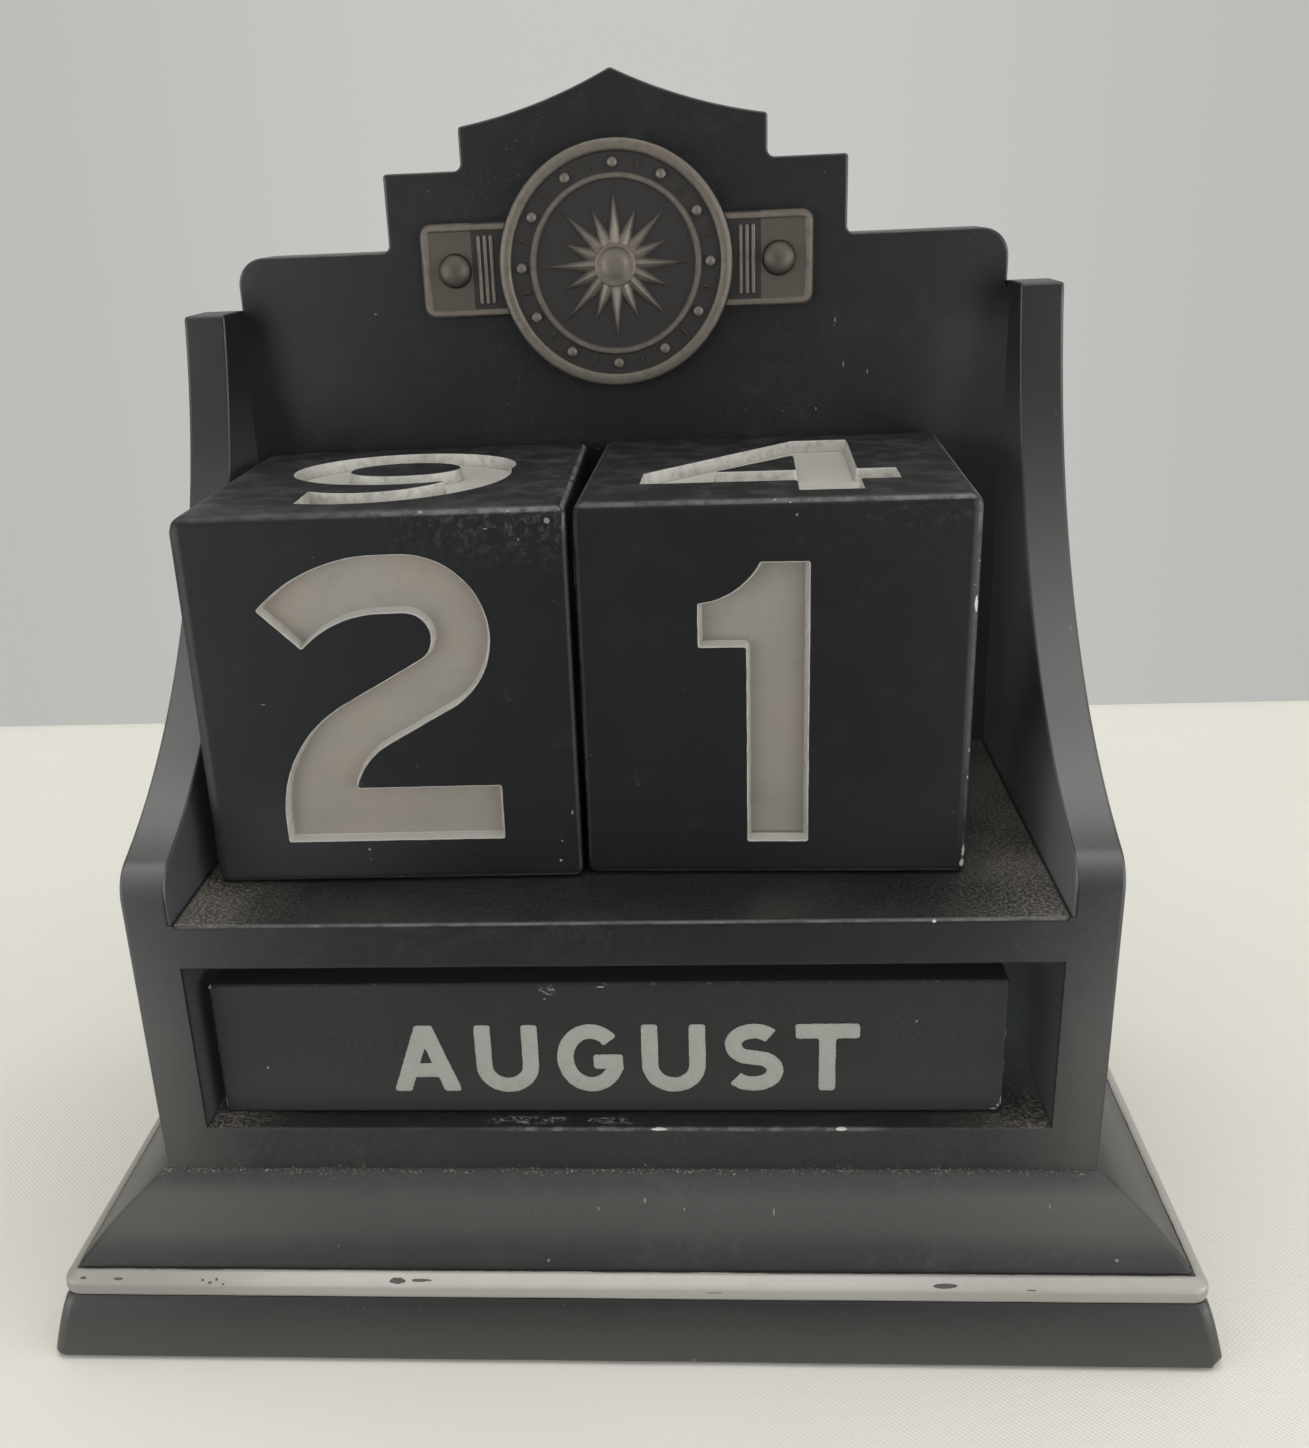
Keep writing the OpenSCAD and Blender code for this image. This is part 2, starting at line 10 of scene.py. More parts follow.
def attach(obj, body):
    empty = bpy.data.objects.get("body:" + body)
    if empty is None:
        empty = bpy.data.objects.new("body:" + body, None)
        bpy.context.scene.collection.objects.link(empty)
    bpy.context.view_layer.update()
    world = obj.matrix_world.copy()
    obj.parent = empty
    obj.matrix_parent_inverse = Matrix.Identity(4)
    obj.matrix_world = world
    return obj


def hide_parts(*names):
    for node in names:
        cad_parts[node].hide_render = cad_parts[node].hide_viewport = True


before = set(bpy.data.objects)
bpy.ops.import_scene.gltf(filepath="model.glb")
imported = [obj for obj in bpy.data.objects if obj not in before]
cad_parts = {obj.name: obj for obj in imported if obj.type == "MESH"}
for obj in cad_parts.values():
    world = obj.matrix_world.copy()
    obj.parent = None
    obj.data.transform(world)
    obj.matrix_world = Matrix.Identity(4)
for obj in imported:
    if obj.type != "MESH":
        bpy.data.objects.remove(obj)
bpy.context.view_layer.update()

scene = bpy.context.scene
MM = 0.001

# ------------------------------------------------------------------ camera
# A pinhole solved for the 1309 x 1448 frame: focal length and centre in pixels.
IMG_W, IMG_H = 1309.0, 1448.0
FOCAL, CX, CY = 1513.09, 602.38, 816.11
YAW, PITCH, ROLL = 0.0795, -0.3905, -0.0453
turn = Matrix.Rotation(YAW, 3, "Z") @ Matrix.Rotation(PITCH, 3, "X")
right, ahead, up = turn.col[0].copy(), turn.col[1].copy(), turn.col[2].copy()
cam_x = math.cos(ROLL) * right + math.sin(ROLL) * up
cam_y = -math.sin(ROLL) * right + math.cos(ROLL) * up
cam_data = bpy.data.cameras.new("camera")
cam_data.sensor_width = 36.0
cam_data.sensor_fit = "AUTO"
cam_data.lens = 36.0 * FOCAL / IMG_H
cam_data.shift_x = (IMG_W / 2 - CX) / IMG_H
cam_data.shift_y = (CY - IMG_H / 2) / IMG_H
cam_data.clip_start, cam_data.clip_end = 0.01, 20
cam = bpy.data.objects.new("camera", cam_data)
scene.collection.objects.link(cam)
m = Matrix((cam_x, cam_y, -ahead)).transposed().to_4x4()
m.translation = Vector((11.756, -187.291, 129.106)) * MM
cam.matrix_world = m
scene.camera = cam

# ------------------------------------------------------------------ sizes, mm
BAY, WING, HOUSE_X, HOUSE_Y = 51.1, 51.5, 57.0, 33.25   # jambs, wings' inner faces, outer faces
FACE_Y, PANEL_Y, BACK_Y = -33.25, 25.25, 33.25
PLINTH_H, FLOOR_Z, CAV_Z, SHELF_Z, CHEEK_Z = 18.9, 24.7, 46.6, 52.4, 116.3
CUBE = 45.0
BAR_L, BAR_T = 95.3, 17.9
EMBLEM_Z = 120.3


# ------------------------------------------------------------------ 2D shapes
def arc(cx, cy, rx, ry, a0, a1, n):
    return [(cx + rx * math.cos(math.radians(a0 + (a1 - a0) * i / n)),
             cy + ry * math.sin(math.radians(a0 + (a1 - a0) * i / n))) for i in range(n + 1)]


def oval(cx, cy, rx, ry, n):
    return [(cx + rx * math.cos(2 * math.pi * i / n), cy + ry * math.sin(2 * math.pi * i / n)) for i in range(n)]


def block(x, y, w, h):
    return [(x, y), (x + w, y), (x + w, y + h), (x, y + h)]


def stroke(path, w):
    """A band of width w along a path, mitred at its points."""
    pts = [Vector(p) for p in path]
    sides = ([], [])
    for i, p in enumerate(pts):
        d0 = (pts[i] - pts[i - 1]) if i else (pts[1] - pts[0])
        d1 = (pts[i + 1] - pts[i]) if i < len(pts) - 1 else d0
        n0 = Vector((-d0.y, d0.x)).normalized()
        n1 = Vector((-d1.y, d1.x)).normalized()
        mid = (n0 + n1).normalized()
        k = w / 2 / mid.dot(n0)
        sides[0].append(tuple(p + mid * k))
        sides[1].append(tuple(p - mid * k))
    return sides[0] + sides[1][::-1]


def area2(p):
    return sum(p[i][0] * p[(i + 1) % len(p)][1] - p[(i + 1) % len(p)][0] * p[i][1] for i in range(len(p)))


def ccw(p):
    return list(p) if area2(p) > 0 else list(p)[::-1]


def cdt(polys):
    faces, pts = [], []
    for p in polys:
        p = ccw(p)
        faces.append(list(range(len(pts), len(pts) + len(p))))
        pts += [Vector((q[0], q[1])) for q in p]
    vo, _, fo, _, _, src = delaunay_2d_cdt(pts, [], faces, 0, 1e-7)
    return [(v.x, v.y) for v in vo], [list(f) for f in fo], src


def fill(polys):
    """Triangles inside nested closed outlines, by the even-odd rule."""
    pts, tris, src = cdt(polys)
    return pts, [ccw_face(t, pts) for t, s in zip(tris, src) if len(s) % 2 == 1]


def ccw_face(t, pts):
    return t if area2([pts[i] for i in t]) > 0 else t[::-1]


def outlines(groups):
    """Closed outlines of a union of groups, each a pair (added, taken away). The inside is on the left."""
    polys, tag = [], []
    for g, (plus, minus) in enumerate(groups):
        for p in plus:
            polys.append(p)
            tag.append((g, 1))
        for p in minus:
            polys.append(p)
            tag.append((g, 0))
    pts, tris, src = cdt(polys)
    edge = {}
    for t, s in zip(tris, src):
        kinds = {}
        for k in s:
            kinds.setdefault(tag[k][0], set()).add(tag[k][1])
        if any(1 in v and 0 not in v for v in kinds.values()):
            t = ccw_face(t, pts)
            for i in range(len(t)):
                edge[(t[i], t[(i + 1) % len(t)])] = True
    step = {a: b for a, b in edge if (b, a) not in edge}
    loops = []
    while step:
        first = min(step)
        loop, a = [], first
        while a in step:
            loop.append(a)
            a = step.pop(a)
        pl = [pts[i] for i in loop]
        loops.append(thin(pl))
    return loops


def thin(p):
    """Drops points that lie on the line between their neighbours."""
    out = []
    for i in range(len(p)):
        a, b, c = Vector(out[-1] if out else p[i - 1]), Vector(p[i]), Vector(p[(i + 1) % len(p)])
        d = (c - a)
        if d.length < 1e-6:
            continue
        away = abs((b - a).x * d.y - (b - a).y * d.x) / d.length
        if away > 0.003 or (b - a).dot(d) < 0:
            out.append(p[i])
    return out


def round_corners(p, r, least=28.0, n=4):
    """Turns each sharp corner of a closed outline into a small arc."""
    out = []
    for i in range(len(p)):
        a, b, c = Vector(p[i - 1]), Vector(p[i]), Vector(p[(i + 1) % len(p)])
        u, v = (a - b), (c - b)
        if u.length < 1e-6 or v.length < 1e-6:
            continue
        ang = math.pi - u.angle(v)
        if math.degrees(ang) < least:
            out.append(p[i])
            continue
        t = min(r * math.tan(ang / 2), 0.45 * u.length, 0.45 * v.length)
        rr = t / math.tan(ang / 2)
        s, e = b + u.normalized() * t, b + v.normalized() * t
        mid = (u.normalized() + v.normalized())
        centre = b + mid.normalized() * math.hypot(t, rr)
        a0, a1 = math.atan2(s.y - centre.y, s.x - centre.x), math.atan2(e.y - centre.y, e.x - centre.x)
        while a1 - a0 > math.pi:
            a1 -= 2 * math.pi
        while a1 - a0 < -math.pi:
            a1 += 2 * math.pi
        out += [(centre.x + rr * math.cos(a0 + (a1 - a0) * k / n),
                 centre.y + rr * math.sin(a0 + (a1 - a0) * k / n)) for k in range(n + 1)]
    return out


def ragged(p, amount, size, seed, longest=0.5):
    """A closed outline with a slightly uneven edge, like brushed or printed paint."""
    fine = []
    for i in range(len(p)):
        a, b = Vector(p[i]), Vector(p[(i + 1) % len(p)])
        k = max(1, math.ceil((b - a).length / longest))
        fine += [tuple(a.lerp(b, j / k)) for j in range(k)]
    out = []
    for i in range(len(fine)):
        a, b, c = Vector(fine[i - 1]), Vector(fine[i]), Vector(fine[(i + 1) % len(fine)])
        d = (c - a)
        if d.length < 1e-9:
            continue
        nn = Vector((d.y, -d.x)).normalized()
        k = noise.noise(Vector((b.x / size, b.y / size, seed))) + 0.5 * noise.noise(Vector((b.x * 2.3 / size, b.y * 2.3 / size, seed + 7)))
        out.append((b.x + nn.x * amount * k, b.y + nn.y * amount * k))
    return out


def grow(p, d):
    """The outline moved outward by d, away from the inside on its left."""
    if abs(d) < 1e-9:
        return list(p)
    out = []
    for i in range(len(p)):
        a, b, c = Vector(p[i - 1]), Vector(p[i]), Vector(p[(i + 1) % len(p)])
        e0, e1 = (b - a).normalized(), (c - b).normalized()
        n0, n1 = Vector((e0.y, -e0.x)), Vector((e1.y, -e1.x))
        mid = n0 + n1
        if mid.length < 1e-6:
            out.append(p[i])
            continue
        mid.normalize()
        out.append(tuple(b + mid * d / max(mid.dot(n0), 0.4)))
    return out


# ------------------------------------------------------------------ numerals
def numeral(d):
    """Bold numeral on a 45 x 45 field, as groups for outlines()."""
    w = 6.9
    if d == 0:
        return [([oval(22.5, 22.5, 13.4, 17.5, 72)], [oval(22.5, 22.5, 6.5, 10.6, 56)])]
    if d == 1:
        return [([[(20.8, 38.0), (26.4, 38.0), (26.4, 4.2), (19.2, 4.2), (19.2, 28.2), (13.7, 28.2)]
                  + arc(13.2, 41.95, 8.56, 8.56, -86.6, -32, 12)], [])]
    if d == 2:
        return [([arc(23.5, 19.75, 20.4, 20.4, 135.4, 90, 14) + arc(26.0, 30.4, 9.75, 9.75, 90, -61.2, 34)
                  + arc(27.24, 9.68, 9.0, 9.0, 118.8, 163.7, 10) + [(35.9, 12.2), (35.9, 5.3), (9.5, 5.3)]
                  + arc(25.9, 8.26, 16.4, 16.4, 180, 118.8, 16) + arc(26.0, 30.4, 2.95, 2.95, -61.2, 90, 20)
                  + arc(23.5, 19.75, 13.6, 13.6, 90, 135.4, 12)], [])]
    if d == 3:
        return [([stroke(arc(22.0, 30.18, 9.6, 6.38, 155, -90, 32) + [(16.5, 23.8)], w)], []),
                ([stroke([(16.5, 23.8)] + arc(22.0, 16.17, 10.3, 7.63, 90, -155, 34), w)], [])]
    if d == 4:
        return [([[(25.2, 39.9), (32.5, 39.9), (32.5, 17.7), (37.1, 17.7), (37.1, 10.8), (32.5, 10.8),
                   (32.5, 4.6), (25.2, 4.6), (25.2, 10.8), (6.9, 10.8), (6.9, 17.8)]],
                 [[(15.4, 17.7), (25.2, 28.3), (25.2, 17.7)]])]
    if d == 5:
        return [([block(12.6, 33.1, 20.6, w)], []), ([block(12.6, 20.6, w, 19.4)], []),
                ([stroke(arc(20.6, 16.2, 11.4, 7.65, 118, -150, 36), w)], [])]
    if d == 7:
        return [([block(9.8, 33.1, 25.8, w)], []),
                ([[(27.6, 34), (35.6, 34), (35.6, 33.1), (21.2, 5.1), (13.4, 5.1)]], [])]
    if d == 8:
        return [([oval(22.5, 30.2, 11.7, 9.7, 56)], [oval(22.5, 30.2, 4.9, 2.9, 40)]),
                ([oval(22.5, 16.0, 13.1, 10.85, 60)], [oval(22.5, 16.0, 6.3, 4.05, 44)])]
    if d == 9:
        return [([oval(22.55, 28.4, 14.25, 11.5, 72)], [oval(22.75, 27.6, 7.0, 4.7, 44)]),
                ([arc(19.5, 22.5, 17.3, 17.3, 20, -111.4, 40) + arc(19.5, 22.5, 10.4, 10.4, -127.3, 20, 34)],
                 [block(15.75, 22.9, 11, 9.4)])]


LETTER_W = dict(A=8.5, B=7.1, C=7.9, D=7.7, E=6.3, F=6.1, G=8.0, H=7.5, I=2.0, J=5.9, L=6.0, M=9.0, N=7.7,
                O=8.7, P=7.0, R=7.4, S=7.3, T=7.6, U=7.7, V=8.4, Y=8.2)
LT, CAP = 2.0, 9.2


def bowl(x, y0, y1, out):
    r, yc = (y1 - y0 - LT) / 2, (y0 + y1) / 2
    return stroke([(x, y1 - LT / 2)] + arc(x + out - LT / 2 - r, yc, r, r, 90, -90, 14) + [(x, y0 + LT / 2)], LT)


def letter(c):
    w = LETTER_W[c]
    p = []
    if c == "A":
        p = [[(0, 0), (2.15, 0), (5.30, CAP), (3.20, CAP)],
             [(w, 0), (w - 2.15, 0), (w - 5.30, CAP), (w - 3.20, CAP)], block(1.6, 2.0, w - 3.2, 1.95)]
    elif c == "B":
        p = [block(0, 0, LT, CAP), bowl(1, 4.0, CAP, 5.6), bowl(1, 0, 5.6, 6.1)]
    elif c == "C":
        p = [stroke(arc(4.3, 4.6, 3.3, 3.6, 42, 318, 32), LT)]
    elif c == "D":
        p = [block(0, 0, LT, CAP), bowl(1, 0, CAP, 6.7)]
    elif c == "E":
        p = [block(0, 0, LT, CAP)] + [block(1, y, w - 1 - (0.5 if y == 3.6 else 0), LT) for y in (0, 3.6, 7.2)]
    elif c == "F":
        p = [block(0, 0, LT, CAP)] + [block(1, y, w - 1 - (0.6 if y == 3.5 else 0), LT) for y in (3.5, 7.2)]
    elif c == "G":
        p = [stroke(arc(4.1, 4.6, 3.1, 3.7, 40, 345, 34), LT), block(4.4, 3.1, 3.6, 2.0)]
    elif c == "H":
        p = [block(0, 0, LT, CAP), block(w - LT, 0, LT, CAP), block(1, 3.6, w - 2, LT)]
    elif c == "I":
        p = [block(0, 0, LT, CAP)]
    elif c == "J":
        p = [stroke([(w - 1, CAP)] + arc(2.9, 2.9, 2.0, 1.95, 0, -165, 16), LT)]
    elif c == "L":
        p = [block(0, 0, LT, CAP), block(1, 0, w - 1, LT)]
    elif c == "M":
        p = [block(0, 0, LT, CAP), block(w - LT, 0, LT, CAP),
             [(0, CAP), (2.2, CAP), (w / 2 + 1, 2.2), (w / 2 - 1, 2.2)],
             [(w, CAP), (w - 2.2, CAP), (w / 2 - 1, 2.2), (w / 2 + 1, 2.2)]]
    elif c == "N":
        p = [block(0, 0, LT, CAP), block(w - LT, 0, LT, CAP), [(0, CAP), (2.3, CAP), (w, 0), (w - 2.3, 0)]]
    elif c == "O":
        return [([oval(w / 2, 4.6, w / 2, 4.7, 48)], [oval(w / 2, 4.6, w / 2 - 2, 2.7, 36)])]
    elif c == "P":
        p = [block(0, 0, LT, CAP), bowl(1, 3.3, CAP, 6.0)]
    elif c == "R":
        p = [block(0, 0, LT, CAP), bowl(1, 3.6, CAP, 6.0), [(2.6, 4.6), (4.8, 4.6), (w, 0), (w - 2.4, 0)]]
    elif c == "S":
        p = [stroke(arc(3.7, 6.4, 2.5, 1.85, 38, 240, 20) + arc(3.6, 2.8, 2.6, 1.85, 60, -145, 20), LT)]
    elif c == "T":
        p = [block(0, 7.2, w, LT), block(w / 2 - 1, 0, LT, 8)]
    elif c == "U":
        p = [stroke([(1, CAP)] + arc(w / 2, 3.6, w / 2 - 1, 2.75, 180, 360, 20) + [(w - 1, CAP)], LT)]
    elif c == "V":
        p = [[(0, CAP), (2.3, CAP), (5.25, 0), (3.15, 0)], [(w, CAP), (w - 2.3, CAP), (w - 5.25, 0), (w - 3.15, 0)]]
    elif c == "Y":
        p = [[(0, CAP), (2.5, CAP), (5.1, 3.4), (3.1, 3.4)], [(w, CAP), (w - 2.5, CAP), (w - 5.1, 3.4), (w - 3.1, 3.4)],
             block(w / 2 - 1, 0, LT, 4)]
    return [([q], []) for q in p]


def kern(a, b):
    return (-0.8 if "T" in (a, b) else 0) + (-0.2 if "A" in (a, b) else 0) + (0.15 if "G" in (a, b) else 0)


def word_loops(word, seed, low):
    """Outlines of a month word: 2.2 right of and low below the middle of its side."""
    pens, x = [], 0.0
    for i, c in enumerate(word):
        if i:
            x += LETTER_W[word[i - 1]] + 2.1 + kern(word[i - 1], c)
        pens.append(x)
    width = x + LETTER_W[word[-1]]
    loops = []
    for i, (c, px) in enumerate(zip(word, pens)):
        for lp in outlines(letter(c)):
            lp = round_corners(lp, 0.38 if area2(lp) > 0 else 0.10, n=3)
            lp = [(q[0] + px - width / 2 + 2.2, q[1] - CAP / 2 - low) for q in lp]
            loops.append(ragged(lp, 0.06, 0.42, seed + 3.1 * i, longest=0.35))
    return loops


# ------------------------------------------------------------------ meshes
def note_bevel(bm):
    """Point attribute 'edge': 1 on the rounded edges, 0 on the flat faces."""
    layer = bm.verts.layers.float.get("edge") or bm.verts.layers.float.new("edge")
    for v in bm.verts:
        v[layer] = 1.0 if v.link_faces and all(f.material_index == 1 for f in v.link_faces) else 0.0
    for f in bm.faces:
        f.material_index = 0


def through(bm, modify):
    """The mesh after a modifier, as a new bmesh."""
    me = bpy.data.meshes.new("work")
    bm.to_mesh(me)
    bm.free()
    me.materials.append(None)
    me.materials.append(None)
    ob = bpy.data.objects.new("work", me)
    scene.collection.objects.link(ob)
    modify(ob)
    bpy.context.view_layer.update()
    dg = bpy.context.evaluated_depsgraph_get()
    out = bpy.data.meshes.new_from_object(ob.evaluated_get(dg))
    bpy.data.objects.remove(ob)
    bpy.data.meshes.remove(me)
    res = bmesh.new()
    res.from_mesh(out)
    bpy.data.meshes.remove(out)
    return res


def bevelled(bm, weigh, width, segments=4, clamp=True):
    """Rounds edges: weigh(edge) gives each edge's share of the width, 0 to 1."""
    layer = bm.edges.layers.float.get("bevel_weight_edge") or bm.edges.layers.float.new("bevel_weight_edge")
    for e in bm.edges:
        e[layer] = weigh(e)

    def modify(ob):
        mod = ob.modifiers.new("round", "BEVEL")
        mod.limit_method = "WEIGHT"
        mod.offset_type = "OFFSET"
        mod.width = width
        mod.segments = segments
        mod.profile = 0.5
        mod.use_clamp_overlap = clamp
        mod.material = 1

    out = through(bm, modify)
    note_bevel(out)
    return out


def boolean(bm, others, operation):
    """Exact boolean of a bmesh with closed bmeshes, one after another."""
    obs = []
    for o in others:
        me = bpy.data.meshes.new("tool")
        o.to_mesh(me)
        o.free()
        ob = bpy.data.objects.new("tool", me)
        scene.collection.objects.link(ob)
        obs.append(ob)

    def modify(ob):
        for t in obs:
            mod = ob.modifiers.new("cut", "BOOLEAN")
            mod.solver = "EXACT"
            mod.operation = operation
            mod.object = t

    out = through(bm, modify)
    for t in obs:
        me = t.data
        bpy.data.objects.remove(t)
        bpy.data.meshes.remove(me)
    return out


def prism(outline, to3d, depth):
    """A closed prism: outline in 2D, to3d maps (a, b, c) to a point, c from 0 to depth."""
    bm = bmesh.new()
    lo = [bm.verts.new(to3d(a, b, 0)) for a, b in outline]
    hi = [bm.verts.new(to3d(a, b, depth)) for a, b in outline]
    bm.faces.new(lo)
    bm.faces.new(hi)
    n = len(outline)
    for i in range(n):
        bm.faces.new((lo[i], lo[(i + 1) % n], hi[(i + 1) % n], hi[i]))
    bmesh.ops.recalc_face_normals(bm, faces=bm.faces)
    return bm


def box_bm(x0, x1, y0, y1, z0, z1):
    return prism([(x0, y0), (x1, y0), (x1, y1), (x0, y1)], lambda a, b, c: (a, b, z0 + c), z1 - z0)


class Sink:
    """Adds points to a bmesh and joins those at the same place."""

    def __init__(self, bm, known=()):
        self.bm, self.at = bm, {}
        for v in known:
            self.at[self.key(v.co)] = v

    def key(self, co):
        return (round(co[0] * 2e3), round(co[1] * 2e3), round(co[2] * 2e3))

    def vert(self, co):
        k = self.key(co)
        if k not in self.at:
            self.at[k] = self.bm.verts.new(co)
        return self.at[k]

    def face(self, cos):
        vs = []
        for c in cos:
            v = self.vert(c)
            if v not in vs:
                vs.append(v)
        if len(vs) > 2:
            try:
                return self.bm.faces.new(vs)
            except ValueError:
                return None


def carve(bm, origin, U, V, loops, profile, through_to=None):
    """Sinks pockets into a flat face. The face holds the point origin and its normal is U x V.
    profile is a list of (growth of the outline, depth); the last one is the pocket's floor."""
    N = U.cross(V)
    bm.normal_update()
    face = max((f for f in bm.faces if f.normal.dot(N) > 0.999 and abs((f.calc_center_median() - origin).dot(N)) < 2e-2),
               key=lambda f: f.calc_area())
    border = list(face.verts)
    outer = [((v.co - origin).dot(U), (v.co - origin).dot(V)) for v in border]
    level = (border[0].co - origin).dot(N)
    bm.faces.remove(face)
    sink = Sink(bm, border)

    def place(p, d):
        return origin + U * p[0] + V * p[1] + N * (level - d)

    rings = [[grow(lp, g) for lp in loops] for g, _ in profile]
    pts, tris = fill([outer] + rings[0])
    for t in tris:
        sink.face([place(pts[i], profile[0][1]) for i in t])
    for k in range(len(profile) - 1):
        for a, b in zip(rings[k], rings[k + 1]):
            n = len(a)
            for i in range(n):
                j = (i + 1) % n
                sink.face([place(a[i], profile[k][1]), place(a[j], profile[k][1]),
                           place(b[j], profile[k + 1][1]), place(b[i], profile[k + 1][1])])
    pts, tris = fill(rings[-1])
    for t in tris:
        sink.face([place(pts[i], profile[-1][1]) for i in t])
    return bm


def slab_from(loops, to3d, profile, cap=True):
    """A closed solid over flat outlines. profile: (growth, height) from the bottom to the top."""
    bm = bmesh.new()
    sink = Sink(bm)
    rings = [[grow(lp, g) for lp in loops] for g, _ in profile]
    for k in range(len(profile) - 1):
        for a, b in zip(rings[k], rings[k + 1]):
            n = len(a)
            for i in range(n):
                j = (i + 1) % n
                sink.face([to3d(*a[i], profile[k][1]), to3d(*a[j], profile[k][1]),
                           to3d(*b[j], profile[k + 1][1]), to3d(*b[i], profile[k + 1][1])])
    for r, (_, h) in ((rings[0], profile[0]), (rings[-1], profile[-1])):
        pts, tris = fill(r)
        for t in tris:
            sink.face([to3d(*pts[i], h) for i in t])
    bmesh.ops.recalc_face_normals(bm, faces=bm.faces)
    return bm


def rect_ring(hx, hy, rc, n=5):
    """Rounded rectangle, counterclockwise, with the same number of points for every size."""
    rc = max(rc, 0.02)
    out = []
    for sx, sy, a in ((1, 1, 0), (-1, 1, 90), (-1, -1, 180), (1, -1, 270)):
        out += arc(sx * (hx - rc), sy * (hy - rc), rc, rc, a, a + 90, n)
    return out


def dense_ring(hx, hy, rc, n=5, step=2.2):
    """rect_ring with points along the straight sides, so that small dents can be made."""
    base = rect_ring(hx, hy, rc, n)
    cx, cy = round(2 * HOUSE_X / step), round(2 * HOUSE_Y / step)
    out = []
    k = n + 1
    for q in range(4):
        out += base[q * k:(q + 1) * k]
        a, b = Vector(base[(q + 1) * k - 1]), Vector(base[((q + 1) * k) % len(base)])
        m_ = cx if q in (0, 2) else cy
        out += [tuple(a.lerp(b, j / m_)) for j in range(1, m_)]
    return out


def loft(rings, closed=False, caps=True):
    """A solid from rings of 3D points. closed joins the last ring to the first."""
    bm = bmesh.new()
    vs = [[bm.verts.new(p) for p in r] for r in rings]
    m_ = len(vs)
    for k in range(m_ if closed else m_ - 1):
        a, b = vs[k], vs[(k + 1) % m_]
        n = len(a)
        for i in range(n):
            j = (i + 1) % n
            bm.faces.new((a[i], a[j], b[j], b[i]))
    if caps and not closed:
        bm.faces.new(vs[0])
        bm.faces.new(vs[-1])
    bmesh.ops.recalc_face_normals(bm, faces=bm.faces)
    return bm


def lathe(profile, place, n=64):
    """A solid of revolution. profile: (radius, height) from the bottom axis to the top axis."""
    bm = bmesh.new()
    rows = []
    for r, h in profile:
        if r < 1e-6:
            rows.append([bm.verts.new(place(0, 0, h))])
        else:
            rows.append([bm.verts.new(place(r * math.cos(2 * math.pi * i / n), r * math.sin(2 * math.pi * i / n), h)) for i in range(n)])
    for a, b in zip(rows, rows[1:]):
        for i in range(n):
            j = (i + 1) % n
            if len(a) == 1 and len(b) == 1:
                continue
            if len(a) == 1:
                bm.faces.new((a[0], b[j], b[i]))
            elif len(b) == 1:
                bm.faces.new((a[i], a[j], b[0]))
            else:
                bm.faces.new((a[i], a[j], b[j], b[i]))
    bmesh.ops.recalc_face_normals(bm, faces=bm.faces)
    return bm


def join(parts):
    """Several bmeshes as one."""
    me = bpy.data.meshes.new("join")
    out = bmesh.new()
    for p in parts:
        p.to_mesh(me)
        p.free()
        out.from_mesh(me)
    bpy.data.meshes.remove(me)
    return out


def piece(name, bm, mat, body, nodes, place=None, sharp=34.0, weighted=True):
    """Makes the object: metres, shading, material, body."""
    bmesh.ops.dissolve_degenerate(bm, dist=1e-5, edges=bm.edges)
    bmesh.ops.recalc_face_normals(bm, faces=bm.faces)
    bmesh.ops.scale(bm, vec=(MM, MM, MM), verts=bm.verts)
    for f in bm.faces:
        f.smooth = True
        f.material_index = 0
    for e in bm.edges:
        e.smooth = len(e.link_faces) == 2 and e.calc_face_angle() < math.radians(sharp)
    me = bpy.data.meshes.new(name)
    bm.to_mesh(me)
    bm.free()
    me.materials.clear()
    me.materials.append(mat)
    ob = bpy.data.objects.new(name, me)
    scene.collection.objects.link(ob)
    if place is not None:
        ob.matrix_world = place
    if weighted:
        mod = ob.modifiers.new("normals", "WEIGHTED_NORMAL")
        mod.keep_sharp = True
        mod.weight = 50
    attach(ob, body)
    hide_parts(*nodes)
    return ob


